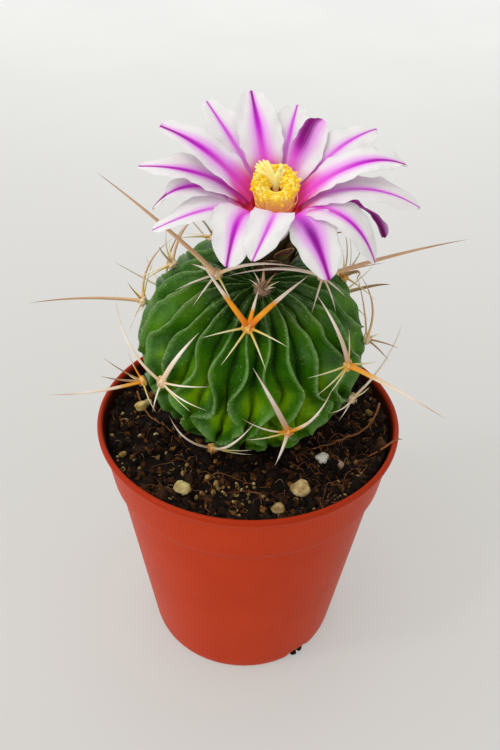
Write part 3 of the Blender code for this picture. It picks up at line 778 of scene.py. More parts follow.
# %% The ball and its skin
def skin_finish():
    """Deep green flanks, lime low in the hollows, and painted shade towards the crown and in a
    thin crease; then bloom and scars on the crests, pale flecks, and painted glints: pale grains
    near the crests."""
    skin = Finish("cactus_skin", 0.3, 0.3, **flesh(0.1, 0.0012, (0.6, 1.0, 0.1)))
    from_crest, height = skin.chart()
    cloud, fine, grit = skin.cloud(150), skin.fine(300), skin.fine(620)
    hollow = skin.times(skin.between(height, 0.66, 0.52), skin.between(from_crest, 0.25, 0.7))
    crest = skin.between(from_crest, 0.22, 0.06)
    flecks = skin.effect(FLECKS, Scale=1300, Size=0.17, Thin=0.6)
    # painted glints: pale grains near the crests, standing in for small highlights
    painted_glints = skin.times(skin.between(grit, 0.64, 0.70),
                     skin.between(from_crest, 0.5, 0.1, 0.1, 0.7))
    green = skin.coats(
        skin.ramp(cloud, (0.34, 34, 78, 2), (0.5, 54, 108, 2), (0.66, 84, 138, 12)),
        (skin.times(hollow, skin.between(cloud, 0.38, 0.58, 0.15, 1)), (136, 180, 0)),
        # painted shade: darker towards the crown
        (skin.between(height, 0.68, 0.92, 0, 0.75), (34, 54, 20)),
        # painted shade: darker in a thin band along each crease
        (skin.between(from_crest, 0.72, 1, 0, 0.6), (24, 48, 6)),
        (skin.times(crest, skin.between(fine, 0.34, 0.64, 0.25, 0.9)), (104, 138, 70)),
        (skin.times(crest, skin.between(cloud, 0.6, 0.7, 0, 0.45)), (128, 126, 84)),
        (skin.times(flecks, 0.35), (196, 210, 160)), (painted_glints, (190, 212, 168)))
    gloss = skin.between(fine, 0.3, 0.7, 0.16, 0.40)
    return skin.dress(green, grit, distance=0.0003, Roughness=gloss)


make_piece("ribbed_ball", [tube_shell(*body_points())], [skin_finish()],
           "cactus_body", PLANT)

# %% [markdown]
# ## Cushions of spines
#
# A cactus spine grows out of a small woolly cushion, the areole, that sits on a rib's
# crest. Each cushion carries a few broad daggers, narrower blades and thin needles, every
# one at its own turn and rise, so a table is the honest way to write them down. The table
# gives each cushion's rib, height and wool, and for each spine its kind, its turn from the
# crown in degrees, its rise off the skin, its length, its colour, and its bow where it is
# strongly curved.
#
# A spine is a tube whose ring is a flattened ellipse: wide across and thin through, a
# little swollen at the foot, and drawn to a point.

# %% Spine sizes and the table of cushions
SPINE_RINGS, SPINE_SIDES = 26, 10
SPINE_WIDTHS = {"dagger": (1.0, 0.5), "blade": (0.76, 0.42), "needle": (0.42, 0.34)}
CUSHIONS = {
    "areole_front_top": (0, 57, "flame", """
        dagger -51 28 12.5 orange, dagger 43 26 12.5 orange, blade 6 30 6.5 orange,
        needle -119 18 8 gold, needle 111 18 7.5 gold, needle 149 12 8 gold,
        needle -158 12 8 gold"""),
    "areole_crown_left": (-5, 69, "pale", """
        dagger -152 33 24.5 tan, blade 13 15 14 cream 0.5, blade -162 16 4.5 cream,
        needle 148 8 8.5 cream, needle 119 8 9.5 cream, needle 76 6 7.5 gold"""),
    "areole_crown_right": (7, 59, "pale", """
        dagger -174 48 24 tan, blade -16 -6 18 cream 0.4, needle 178 40 10.5 tan,
        needle -68 2 11 cream, needle -95 4 8.5 cream, needle -130 8 5.5 cream"""),
    "areole_front_right": (4, 24, "flame", """
        dagger -7 -3 15.5 blush 0.3, dagger 170 58 18 honey, needle 16 6 6.5 gold,
        needle -63 0 11.5 gold, needle -82 2 10 gold, needle -92 6 7.5 gold,
        needle 120 15 7 gold"""),
    "areole_front_low": (2, 1, "flame", """
        dagger -23 -2 19 blush, blade 30 3 12 honey 0.6, needle 47 8 6.5 gold,
        needle -52 2 11 honey 0.3, needle -77 8 8 gold, blade -160 16 7 cream"""),
    "areole_front_left": (-3, 11, "pale", """
        blade -46 10 16.5 cream 0.5, dagger 17 -2 15 cream, needle 52 0 12.5 cream,
        needle 72 2 11.5 cream 0.3, needle 86 4 8 gold, needle 165 20 5.5 cream"""),
    "areole_left": (-6, 14, "pale", """
        dagger 116 66 19.5 tan, blade -42 -4 12 tan 0.6, needle -28 6 8.5 gold,
        needle -20 58 4.5 brown, needle 100 2 7 cream, needle -120 20 7 gold"""),
    "areole_left_low": (-4, -11, "flame", """
        dagger -31 76 16.5 honey, needle -45 6 6 orange, blade -50 62 7.5 brown,
        needle 100 0 6.5 gold, needle -51 38 8 brown, needle -120 20 6 gold"""),
    "areole_foot": (-1, -30, "flame", """
        blade -40 -12 11.5 blush 0.5, blade 30 -22 15.5 cream 0.5, needle 66 -12 8 gold,
        needle 84 -8 7 gold"""),
    "areole_right_low": (5, -9, "pale", """
        blade 60 3 16.5 cream 0.3, needle 10 8 4 cream, needle -100 0 5 cream,
        needle -66 -14 9 cream 0.3, needle 110 15 7 gold"""),
    "areole_right": (6, 14, "pale", """
        blade 40 -4 11.5 tan 0.6, needle 40 -6 12 tan, needle -140 42 5.5 brown,
        needle -150 70 6 brown, needle 130 15 7 gold""")}
PLAIN_STAR = """
    blade -45 12 13 tan 0.6, needle 40 30 12 cream 0.5, needle -12 52 8 cream 0.4,
    needle -115 16 7.5 gold, needle 110 16 7.5 gold, needle 155 14 6.5 cream"""
BACK_HEIGHTS = [38, 4, 50, 16, -12, 38, 10, 50, -6, 40]
for number, height in enumerate(BACK_HEIGHTS, start=1):
    wool = "flame" if number % 2 else "pale"
    CUSHIONS[f"areole_back_{number}"] = (number + 7, height, wool, PLAIN_STAR)
CUSHIONS["crown_tuft"] = (1, 80, "brown", """
    needle -60 60 4 cream, blade 10 70 4 tan, needle 80 55 4 tan, needle 150 35 4 cream,
    needle -140 35 4 tan, needle 110 40 3.6 gold, needle -100 45 3.6 cream""")
print(len(CUSHIONS), "cushions")

# %% [markdown]
# ### Horn and wool
#
# Young spines of this plant are orange at the foot and change quite suddenly to a pinkish
# cream; others are cream, gold, tan or brown from end to end. The change runs along the
# spine, so the colour ramp is driven by the map's second number, which counts from foot to
# tip, with a little cloud added so that no two spines change at quite the same place.

# %% Horn and wool finishes
def horn_finish(name, *stops):
    """Colours from foot to tip, with fine lengthwise lines and a satin surface."""
    horn = Finish(name, 0.42, 0.3)
    lines = horn.lines(14, 1.6)
    colour = horn.coats(horn.ramp(horn.jitter(horn.chart()[1], horn.cloud(260), 0.06), *stops),
                        (horn.between(lines, 0.5, 0.75, 0, 0.25), (168, 112, 60)))
    satin = horn.between(lines, 0.3, 0.7, 0.36, 0.55)
    return horn.dress(colour, lines, 0.25, Roughness=satin)


def wool_finish(name, dark, pale):
    """Matt felt with a cloudy tint; sheen gives it a soft edge."""
    wool = Finish(name, 0.95, 0.1, Sheen_Weight=0.1)
    return wool.two_tone(wool.fine(380), 0.35, dark, 0.65, pale, 0.6)


HORN = {
    "orange": horn_finish(
        "horn_orange_foot", (0.0, 210, 92, 4), (0.10, 228, 128, 4), (0.30, 242, 158, 8),
        (0.42, 232, 146, 14), (0.46, 214, 172, 124), (0.54, 232, 212, 190),
        (0.92, 226, 208, 190), (1.0, 190, 158, 132)),
    "blush": horn_finish(
        "horn_blush", (0.0, 226, 130, 14), (0.07, 220, 150, 64), (0.16, 208, 174, 144),
        (0.45, 226, 200, 182), (0.7, 246, 234, 222), (1.0, 208, 184, 166)),
    "honey": horn_finish(
        "horn_honey", (0.0, 214, 110, 8), (0.08, 236, 148, 16), (0.2, 236, 168, 62),
        (0.3, 232, 204, 172), (0.6, 240, 224, 208), (1.0, 196, 160, 136)),
    "cream": horn_finish(
        "horn_cream", (0.0, 216, 172, 106), (0.1, 228, 198, 156), (0.3, 240, 220, 194),
        (0.6, 250, 238, 222), (1.0, 210, 186, 164)),
    "gold": horn_finish("horn_gold", (0.0, 228, 152, 14), (0.16, 220, 184, 74),
                        (0.45, 224, 212, 148), (1.0, 238, 232, 204)),
    "tan": horn_finish("horn_tan", (0.0, 232, 198, 144), (0.2, 222, 180, 136),
                       (0.7, 206, 164, 126), (1.0, 136, 90, 60)),
    "brown": horn_finish("horn_brown", (0.0, 192, 146, 82), (0.4, 166, 126, 86),
                         (1.0, 132, 98, 70))}
WOOL = {"flame": wool_finish("orange_wool", (226, 132, 10), (246, 206, 130)),
        "pale": wool_finish("pale_wool", (212, 172, 116), (242, 226, 196)),
        "brown": wool_finish("brown_wool", (146, 108, 80), (222, 190, 160))}
print("horn:", *HORN, "- wool:", *WOOL)

# %% [markdown]
# ### Building one cushion
#
# The frame of a cushion is found from the ball's own formula: two tiny steps, one towards
# the crown and one sideways, give two directions in the skin, and their cross product is the
# way out of it. All of a cushion's spines, its felt pad and its short hairs become one piece.

# %% Spine and cushion shapes
def cushion_frame(rib, height):
    """Its place on the crest, and its side, crown-ward and outward directions."""
    turn = crest_turn(rib, height)
    place = ball_point(turn, height)
    along = ball_point(turn, height + 0.5) - place
    outward = unit(np.cross(ball_point(turn + 0.5, height) - place, along))
    side = unit(np.cross(along, outward))
    return place + outward * 0.5, side, np.cross(outward, side), outward


def spine_shell(seat, kind, turn, rise, length, tint, bow=0.15):
    """Rings along place + direction s + over bow s (1 - s), each an ellipse of
    width (1 - s^1.7) and swollen by 45 percent at the foot."""
    place, side, crownward, outward = seat
    turn, rise, length, bow = map(float, (turn, rise, length, bow))
    width, thick = SPINE_WIDTHS[kind]
    direction = (side * sin(turn) + crownward * cos(turn)) * cos(rise) + outward * sin(rise)
    across = unit(np.cross(direction, outward))
    over = unit(np.cross(across, direction))
    share = np.linspace(0, 0.995, SPINE_RINGS)[:, None]
    sway = 0.012 * length * np.sin(np.pi * share) * np.sin(turn)
    middle = (place + direction * (length * share) + across * sway
              + over * (bow * length * share * (1 - share)))
    taper = (1 - share ** 1.7) * (1 + 0.45 * np.exp(-(share * length / 0.9) ** 2))
    x, y = cos(circle(SPINE_SIDES)), sin(circle(SPINE_SIDES))
    ridge = 1 + 0.25 * (1 - np.abs(x)) * (kind != "needle")
    points = (middle[:, None] + across * (0.5 * width * taper * x)[..., None]
              - over * (0.5 * thick * taper * y * ridge)[..., None])
    return tube_shell(points, (0.5 + 0.5 * x, share), list(HORN).index(tint))


def round_ball(rings, sides, most):
    """A ball of radius 1, with its rings up to `most` degrees from its equator."""
    height = np.linspace(-most, most, rings)[:, None]
    return polar(circle(sides), cos(height), sin(height))


def pad_shell(seat, seed):
    """The felt pad: a ball of 1 mm flattened against the skin, with a bumpy surface."""
    ball = round_ball(12, 18, 80)
    ball = ball * (1 + 0.14 * waves(ball, 0.9, seed))[..., None] * (1, 1, 0.62)
    return tube_shell(seat[0] + ball @ np.array(seat[1:]), finish=len(HORN))


def hair_shell(seat, seed, count, reach):
    """Short curly hairs: they leave the pad outwards, and a sine wave curls them sideways."""
    dice, share = new_dice(seed), np.linspace(0, 1, 7)[:, None]
    spread = unit(dice.normal(size=(count, 3)) + 1.1 * seat[3])
    aside = unit(np.cross(spread, dice.normal(size=(count, 3))))
    length = reach * dice.uniform(0.25, 0.6, (count, 1, 1))
    curl = 0.3 * np.sin(2 * np.pi * share * dice.uniform(0.5, 1.3, (count, 1, 1)))
    paths = (seat[0] + spread[:, None] * (0.6 + length * share)
             + aside[:, None] * curl * length)
    return round_tubes(paths, 0.028, 3, len(HORN))


# %% Make the cushions
# How many hairs, and how far they reach
HAIRS, TUFT_HAIRS = (44, 1.0), (200, 2.6)
for seed, (name, (rib, height, wool, spines)) in enumerate(CUSHIONS.items(), start=40):
    seat = cushion_frame(rib, height)
    shells = [spine_shell(seat, *spine.split()) for spine in spines.split(",")]
    hairs = TUFT_HAIRS if name == "crown_tuft" else HAIRS
    shells += [pad_shell(seat, seed), hair_shell(seat, seed, *hairs)]
    make_piece(name + "_spines", shells, [*HORN.values(), WOOL[wool]], name, PLANT)

# %% [markdown]
# ## The flower's tube
#
# Under the petals the flower narrows to a short tube clothed in pointed scales, dark maroon
# and olive with papery tan edges. The tube is turned, with a cup at its top for the throat.
# Each scale is a flat tube of its own: its rings rise along the side and lean away from it,
# and their width swells and then draws to a point.

# %% The tube and its scales
THROAT_RADIUS, THROAT_DEPTH, TUBE_LENGTH = 3.3, 5.0, 12.5


def tube_scales():
    """Three rows of scales, each row turned by a third of a step and higher. A scale's
    rings are side w cos t - normal h sin t, thinner towards the edges."""
    row = np.repeat([0, 1, 2], 6)[:, None]
    turn = 60 * np.tile(np.arange(6), 3)[:, None] + 20 * row
    root, length = np.array([-10.5, -8.0, -5.6])[row], np.array([6.0, 6.4, 5.6])[row]
    share = np.linspace(0.02, 0.99, 14)
    out = 4 + 0.1 * (root + 12) + length * (0.18 * share + 0.30 * share ** 2)
    path = polar(turn, out, root + length * share * 0.9)
    normal = unit(polar(turn, 1, 0) - joined(0, 0, 0.45 * share))
    wide = 1.6 * np.sin(np.pi * np.minimum(1, 0.12 + 0.88 * share)) ** 0.7 + 0.03
    x = cos(circle(12))
    y = 0.17 * sin(circle(12)) * (1 - 0.6 * x ** 2)
    side = polar(turn + 90, 1, 0)[:, :, None]
    points = (path[:, :, None] + side * (wide[:, None] * x)[..., None]
              - normal[:, :, None] * y[:, None])
    return tube_shell(points, (np.abs(x), share[:, None]), 1)


def scale_finish():
    """Maroon in the middle, olive towards the root, a papery tan edge and tip."""
    scale = Finish("flower_scales", 0.55)
    edge, along = scale.chart()
    cloud = scale.cloud(420)
    body = scale.coats(
        scale.ramp(along, (0.0, 92, 104, 48), (0.35, 82, 24, 28), (0.85, 58, 10, 24),
                   (1.0, 150, 116, 70)),
        (scale.between(cloud, 0.45, 0.75, 0, 0.5), (142, 100, 36)),
        (scale.between(edge, 0.8, 1, 0, 0.8), (196, 166, 104)))
    return scale.dress(body, cloud)


def tube_finish():
    """Olive-green flesh outside and crimson in the throat, told apart by the map."""
    tube = Finish("flower_tube", 0.5)
    cloud = tube.cloud(380)
    outer = tube.ramp(cloud, (0.35, 70, 74, 36), (0.65, 78, 30, 30))
    inner = tube.ramp(cloud, (0.35, 206, 20, 64), (0.7, 226, 34, 92))
    return tube.dress(tube.coats(outer, (tube.chart()[0], inner)), cloud, 0.2)


CUP_POINTS, LIP_POINT = 60, 28
CUP_OUTLINE = [(0.05, -TUBE_LENGTH - 0.6), (3.6, -TUBE_LENGTH), (4.3, -9), (4.8, -4),
               (5.5, -1.2), (5.7, 0), (THROAT_RADIUS, 0), (THROAT_RADIUS, -THROAT_DEPTH),
               (0.05, -THROAT_DEPTH)]
points = turned(rounded_outline(CUP_OUTLINE, 0.05, 0.5, CUP_POINTS), 64)
past_lip = np.arange(CUP_POINTS)[:, None] > LIP_POINT
throat = (radius_of(points) < 5.65) & (points[..., 2] > -THROAT_DEPTH - 0.1) & past_lip
make_piece("flower_cup", [tube_shell(points, (throat, 0.0)), tube_scales()],
           [tube_finish(), scale_finish()], "flower_tube", FLOWER)

# %% [markdown]
# ## The petals
#
# Each petal springs from the cup's rim, arches out and droops to its tip. Seen from the side
# its midrib is one smooth curve; across, it is cupped, dented along the midrib and a little
# ruffled at the edges. A stripe of violet runs down its middle.
#
# A petal could be a flat sheet given a thickness by a modifier, but its edge would then be
# square. A flat tube is closed and thin-edged from the start, and its upper and under sides
# are known by their place in the ring, so that each gets its own finish: the undersides
# carry a darker, broader stripe.

# %% The petals' table and curves
# turn, rise of the tip, length, width, whorl (0 outermost), droop of the end and sideways
# swing of the middle; then cup, roll in degrees, stripe width, and where the back side shows
PETALS = [
    (4, 9, 9.5, 4.0, 0, 20, 0.0, 0.3, 0, 0.5, 2), (26.5, 1, 18.0, 7.4, 1, 32, 0.6, 0.6, 0, 2.1, 2),
    (52, -2, 19.0, 6.2, 1, 60, 0.7, 0.1, -14, 1.1, 2),
    (75, -5, 17.8, 3.8, 0, 68, 0.3, 0.3, -72, 3.4, 0.3),
    (81, 7, 22.2, 5.8, 1, 45, -0.8, 0.1, -4, 0.9, 2),
    (97, 14, 20.4, 6.2, 2, 55, -1.6, 0.5, -10, 1.5, 2),
    (127, 13, 20.4, 6.8, 1, 33, -1.0, 0.1, 0, 1.2, 2),
    (151, 22, 14.8, 5.0, 2, 12, -1.5, 0.7, 0, 2.9, 2),
    (169, 14, 18.3, 6.4, 1, 25, -0.2, 0.1, 0, 1.1, 2),
    (193, 17, 19.4, 7.0, 2, 19, 0.5, 0.4, 0, 1.6, 2),
    (216, 18, 20.1, 6.8, 1, 15, 0.9, 0.5, 5, 1.2, 2),
    (249, 21, 20.4, 6.4, 2, 33, 2.0, 0.6, 10, 1.9, 2),
    (263, 10, 21.5, 6.6, 1, 32, 1.4, 0.5, 14, 1.3, 2),
    (275, 0, 18.8, 5.6, 0, 60, 0.0, 0.3, 16, 1.3, 0.86),
    (291, 2, 19.6, 6.4, 0, 32, 1.1, 0.5, 12, 1.0, 2),
    (337, 7, 17.4, 7.4, 1, 31, -1.8, 0.5, 0, 1.5, 2),
    (349, 10, 16.5, 6.0, 2, 29, 1.2, 0.5, 0, 1.1, 2)]
CURLED_IN = 8  # the petal whose end is curled in
# How far along the petal each ring lies, from 0 at its root to 1 at its tip
SHARE = np.concatenate([np.linspace(0.004, 0.7, 26), np.linspace(0.72, 0.998, 18)])[:, None]
PETAL_SIDES = 36


def petal_path(rise, length, whorl, droop):
    """Distance from the flower's axis and height: a cubic Bezier curve whose last handle
    points `droop` degrees lower than the tip rises."""
    s, lift = SHARE, 0.8 * whorl
    root = np.array([5.2 - 0.75 * whorl, 0.3])
    tip = length * np.array([cos(rise), sin(rise)]) + (0, lift)
    first = np.array([root[0] + 0.8, 3.2 + lift])
    second = tip - 0.5 * length * np.array([cos(rise - droop), sin(rise - droop)])
    return ((1 - s) ** 3 * root + 3 * s * (1 - s) ** 2 * first
            + 3 * s ** 2 * (1 - s) * second + s ** 3 * tip)


def petal_half_width(width, blunt):
    """Swells over the first half, then rounds off: 0.86 sqrt(1 - p^2.6) + 0.14 (1 - p), with p
    the share of the last third, which leaves a small point. A blunt end has the power 7."""
    past = np.clip((SHARE - 0.62) / 0.38, 0, 1)
    end = 0.86 * np.sqrt(1 - past ** (7 if blunt else 2.6)) + 0.14 * (1 - past)
    return 0.5 * width * (0.42 + 0.58 * ease(0, 0.56, SHARE)) * end + 0.04


def petal_points(number, turn, rise, length, width, whorl, droop, sway, cup, roll, stripe):
    """Rings of x = w cos t across the midrib. Each point is raised by cup (x/w)^2, lowered
    over the midrib by exp(-(x/0.6)^2), and ruffled by waves that grow towards the edges."""
    path = petal_path(rise, length, whorl, droop)
    ahead = unit(np.gradient(path, axis=0))
    up, side = polar(turn, -ahead[:, 1], ahead[:, 0]), polar(turn + 90, 1, 0)
    middle = polar(turn, *path.T) + side * 4 * sway * SHARE * (1 - SHARE)
    twist = roll * ease(0.25, 1, SHARE)
    across, over = side * cos(twist) + up * sin(twist), up * cos(twist) - side * sin(twist)
    half = petal_half_width(width, number == CURLED_IN)
    x = half * cos(circle(PETAL_SIDES))
    edge = np.abs(cos(circle(PETAL_SIDES)))
    flat = joined(x, length * SHARE, 7 * number)
    ruffle = 0.3 * waves(flat, 4.0, 60 + number) + 0.1 * waves(flat, 1.6, 80 + number)
    x = x * (1 + 0.05 * waves(flat * (0, 1, 1), 2.6, 100 + number) * edge)
    dent = 0.22 * np.exp(-(x / 0.6) ** 2) * np.sin(np.pi * SHARE) ** 0.5
    body = 0.12 * sin(circle(PETAL_SIDES)) * (1 - 0.75 * edge ** 4)
    height = (cup * half / 3 + ruffle * ease(0.1, 0.5, SHARE)) * edge ** 2 - dent + body
    points = middle[:, None] + across[:, None] * x[..., None] + over[:, None] * height[..., None]
    narrow = 0.5 * stripe * (1 - 0.7 * ease(0.62, 1, SHARE))
    if number == CURLED_IN:
        narrow = 0.5 * stripe * (0.5 + 0.5 * ease(0.3, 0.8, SHARE))
        x = x - 0.62 * half
    return points, (0.5 + 0.1 * x / narrow, SHARE)


# %% [markdown]
# ### Petal colour
#
# The map's first number counts in stripe widths from the midrib, so one finish serves every
# petal, wide stripe or narrow. The stripe has a core, dark and thin at the tip and dissolving
# on its way in, and a wide soft halo. Near the throat the colour spreads from the stripe over
# the whole petal: the finish adds the distance along the petal and the distance from the
# stripe, and blends from crimson to white over their sum. Real petals let light through,
# which the shader's subsurface gives. One petal at the back still has its end curled in, so
# that it looks cut off and shows the broad dark stripe of its back; one at the front right
# has a stripe nearly as dark.

# %% The petals' finishes
def petal_finish(name, halo, reach, glow, fade, *core_stops):
    """Ground, then the throat's glow, then the stripe's halo, then its core, whose strength
    falls to `fade` towards the throat. The light that thin petals pass on to each other is a
    painted glow: a faint emission over the whole petal, strongest in the throat."""
    petal = Finish(name, 0.5, 0.0, **flesh(0.45, 0.0005, (1.0, 0.7, 0.9)))
    across, along = petal.chart()
    lines, cloud = petal.lines(60, 1.4), petal.cloud(300)
    off = petal.calc("ABSOLUTE", petal.calc("SUBTRACT", across, 0.5))
    off = petal.jitter(off, lines, 0.015)
    spread = petal.jitter(petal.plus(along, petal.times(off, 0.5)), cloud, 0.03)
    ground = petal.ramp(along, (0.3, 224, 200, 222), (0.6, 222, 218, 217), (1.0, 222, 218, 217))
    warm = petal.ramp(along, (0.0, 210, 10, 60), (0.2, 204, 10, 96), (0.36, 200, 20, 136),
                      (0.5, 218, 82, 200), (0.66, 232, 168, 230))
    core = petal.times(petal.between(off, reach * 0.12, reach * 0.01),
                       petal.between(along, 0.3, 0.72, fade, 0.95))
    colour = petal.coats(
        ground, (petal.between(lines, 0.52, 0.74, 0, 0.2), (216, 190, 218)),
        (petal.between(spread, glow + 0.26, glow - 0.06), warm),
        (petal.between(off, reach * 0.30, reach * 0.02, 0, 0.8), halo),
        (core, petal.ramp(along, *core_stops)))
    # painted glow: emission of the petal's colour, at 0.55 of its strength over the whole petal
    # and full in the throat
    deep = petal.coats((0, 0, 0), (petal.between(along, 0.5, 0.1, 0.55, 1.0), colour))
    return petal.dress(colour, lines, 0.12, Emission_Color=deep, Emission_Strength=0.14)


UPPER = petal_finish(
    "petal_upper", (222, 104, 224), 1.0, 0.32, 0.4, (0.1, 204, 6, 84), (0.35, 208, 16, 176),
    (0.66, 186, 6, 190), (0.86, 154, 0, 150), (1.0, 100, 0, 76))
PALE = petal_finish(
    "petal_pale_stripe", (224, 156, 226), 0.9, 0.30, 0.3, (0.1, 210, 20, 120),
    (0.4, 218, 90, 212), (0.8, 200, 74, 204), (1.0, 166, 30, 158))
DEEP = petal_finish(
    "petal_deep_stripe", (216, 76, 222), 1.1, 0.24, 0.5, (0.2, 206, 20, 206),
    (0.45, 166, 0, 172), (0.62, 124, 0, 128), (0.85, 150, 0, 150), (1.0, 134, 0, 116))
UNDER = petal_finish(
    "petal_under", (170, 56, 170), 1.5, 0.10, 0.8, (0.1, 120, 24, 70), (0.5, 160, 10, 150),
    (0.8, 120, 0, 104), (1.0, 92, 0, 62))
TURNED_IN = petal_finish(
    "petal_turned_in", (206, 50, 204), 1.0, 0.10, 0.0, (0.38, 226, 80, 214),
    (0.5, 204, 12, 186), (0.64, 150, 0, 136), (0.84, 104, 0, 90), (1.0, 110, 0, 94))
OWN_STRIPE = {2: DEEP, CURLED_IN: TURNED_IN, **dict.fromkeys((5, 7, 9, 11, 15, 17), PALE)}
print("five petal finishes")

# %% [markdown]
# The first half of a petal's ring is its upper side. Where a tip is rolled over, the back
# side's finish shows on both.

# %% Make the petals
for number, (*shape, rolled_from) in enumerate(PETALS, start=1):
    points, marks = petal_points(number, *shape)
    under = (np.arange(PETAL_SIDES) >= PETAL_SIDES // 2) | (SHARE[1:] > rolled_from)
    name = f"petal_{number:02d}"
    make_piece(name + "_blade", [tube_shell(points, marks, under.astype(int))],
               [OWN_STRIPE.get(number, UPPER), UNDER], name, FLOWER)

# %% [markdown]
# ## Stamens and stigma
#
# The middle of the flower is a close column of stamens round the style: thin filaments,
# orange-pink below, each ending in a yellow anther the shape of a bean. The anthers crowd in a
# thick ring with a hollow in its middle, where the throat shows dark red. Anthers are placed
# by the sunflower rule, a golden-angle turn for each next one, while they go from the inner
# edge of the ring over its top to the outside. The stigma stands in the hollow, pale fingers
# fanned out to one side.

# %% Stamens
ANTHER_RING = np.array([(0.9, 3.4), (1.4, 4.8), (2.2, 5.5), (2.95, 5.3), (3.3, 4.6),
                        (3.15, 3.8), (2.85, 3.0)])
GOLDEN_TURN, FILAMENT_FOOT = 137.5, -4.4


def stamen_paths(count=560):
    """Tips along the ring's outline, spaced so that each band gets anthers by its radius, at
    turns of 137.5 n degrees; roots on a ring in the throat. A few tips stray outwards. In
    front the ring's inner edge is wider and its top lower, so that the hollow shows."""
    dice, n, (ring_out, ring_up) = new_dice(71), np.arange(count), ANTHER_RING.T
    legs = np.linalg.norm(np.diff(ANTHER_RING, axis=0), axis=1)
    worth = np.cumsum([0, *legs * (ring_out[1:] + ring_out[:-1])])
    share = (n + 0.5) / count * worth[-1]
    tip_out = np.interp(share, worth, ring_out) + dice.normal(0, 0.1, count)
    tip_up = np.interp(share, worth, ring_up) + dice.normal(0, 0.16, count)
    turn = GOLDEN_TURN * n + dice.normal(0, 4, count)
    front = np.clip(cos(turn), 0, 1)
    stray = (dice.random(count) < 0.16) * dice.uniform(0.1, 0.5, count)
    tip_out = tip_out + stray + 0.9 * front * ease(2.6, 1.4, tip_out)
    tip_up = tip_up - 1.1 * front * ease(4.2, 5.4, tip_up)
    foot_out = np.clip(0.6 + 0.65 * tip_out, 1.3, 2.7)
    rise = np.linspace(0, 1, 9)
    out = foot_out[:, None] + (tip_out - foot_out)[:, None] * rise ** 3
    out = out + 0.08 * np.sin(np.pi * rise) * dice.normal(0, 1, (count, 1))
    up = FILAMENT_FOOT + (tip_up - FILAMENT_FOOT)[:, None] * rise
    return polar(turn[:, None] + 5 * rise * dice.normal(0, 1, (count, 1)), out, up)


def bean_shell(paths):
    """Anthers: six-sided beans 0.6 to 0.9 mm long and 0.54 wide across the filament's end."""
    dice, count, headings = new_dice(72), len(paths), unit(paths[:, -1] - paths[:, -2])
    axis = unit(np.cross(headings, dice.normal(size=(count, 3))) + 0.5 * headings)
    side = unit(np.cross(axis, headings))
    over = np.cross(axis, side)
    share = np.linspace(-0.96, 0.96, 6)[:, None]
    wide = 0.27 * np.sqrt(1 - share ** 2) * (1 + 0.12 * cos(2 * circle(6)))
    length = dice.uniform(0.32, 0.46, (count, 1, 1))
    tips, axis, side, over = (row[:, None, None] for row in (paths[:, -1], axis, side, over))
    points = (tips + axis * (length * share)[..., None] + side * (wide * cos(circle(6)))[..., None]
              + over * (wide * sin(circle(6)))[..., None])
    own = np.moveaxis(dice.random((count, 1, 1, 2)), -1, 0)
    return tube_shell(points, own, 1)


def filament_finish():
    """Orange-pink at the foot, yellow towards the anther, with a painted glow: a faint emission
    of the same colour.
    """
    thread = Finish("filaments", 0.5, 0.1, **flesh(0.5, 0.0008))
    colour = thread.ramp(thread.chart()[1], (0.4, 236, 120, 90), (0.6, 246, 186, 128),
                         (0.85, 252, 220, 120))
    # painted glow: the filaments emit their own colour faintly
    return thread.dress(colour, thread.fine(900), 0.1, Emission_Color=colour,
                        Emission_Strength=0.12)


def anther_finish():
    """Pollen yellow, each anther a little different, with a powdery surface. Pollen scatters
    light from grain to grain, which a faint emission stands for."""
    pollen = Finish("anthers", 0.85, 0.1, **flesh(0.7, 0.0008, (1.0, 0.8, 0.1)))
    fine = pollen.fine(1400)
    yellow = pollen.coats(
        pollen.ramp(pollen.chart()[0], (0.0, 255, 198, 24), (0.5, 255, 218, 66),
                    (1.0, 255, 232, 124)),
        (pollen.between(fine, 0.5, 0.8, 0, 0.3), (250, 160, 14)))
    return pollen.dress(yellow, fine, 0.15, Emission_Color=yellow, Emission_Strength=0.11)


def heart_finish():
    """The dark red hollow between the stamens."""
    heart = Finish("throat_heart", 0.6)
    return heart.two_tone(heart.cloud(600), 0.3, (130, 4, 22), 0.7, (186, 20, 30), 0.2)


# %% [markdown]
# Four loose curly filaments stand at one side and a fifth at the other, and a turned core
# fills the column.

# %% Make the stamens
paths = stamen_paths()
s = np.linspace(0, 1, 14)
turn = np.array([[62], [78], [96], [40], [300]])
loose = polar(turn + 20 * np.sin(5 * s + turn), 2.8 + 1.3 * s ** 0.8 - 0.9 * s ** 4,
              4 * s - 1.6 * s ** 3 - 0.4)
core = turned([(0.1, -4.6), (2.4, -4.4), (2.5, 2.4), (2.6, 4.2), (2.2, 4.8), (1.6, 3.9),
               (1.1, 3.0), (0.1, 3.0)], 24)
core_finish = np.array([0, 0, 1, 1, 2, 2, 2])[:, None]
shells = [round_tubes(paths, 0.12, 5), round_tubes(loose, 0.07, 5), bean_shell(paths),
          tube_shell(core, (0.62, 0.62), core_finish)]
make_piece("stamen_column", shells, [filament_finish(), anther_finish(), heart_finish()],
           "stamens", FLOWER)

# %% [markdown]
# The stigma's fingers are tapered tubes. Each starts at the end of the style, rises and bends
# over towards its own tip. Most of the fan leans to the left and back, four shorter and
# thicker ones to the right, so the tips are written down one by one.

# %% Stigma
STYLE_END = np.array([0.1, 0.35, 3.3])
FINGER_TIPS = np.array([
    (-3.2, 0.7, 2.7), (-3.3, 1.3, 2.9), (-3.1, 1.9, 2.9), (-2.7, 2.4, 3.0), (-2.1, 2.7, 3.0),
    (-1.5, 2.7, 2.9), (-2.3, 1.2, 3.3), (-1.8, 1.8, 3.4), (-2.2, 0.2, 2.8), (-1.2, 1.2, 3.4),
    (0.9, 1.9, 2.9), (1.3, 1.3, 2.5), (0.5, 0.9, 3.0), (0.0, 0.3, 2.4)])
FINGER_RADII = np.repeat([0.28, 0.38], [10, 4])[:, None]


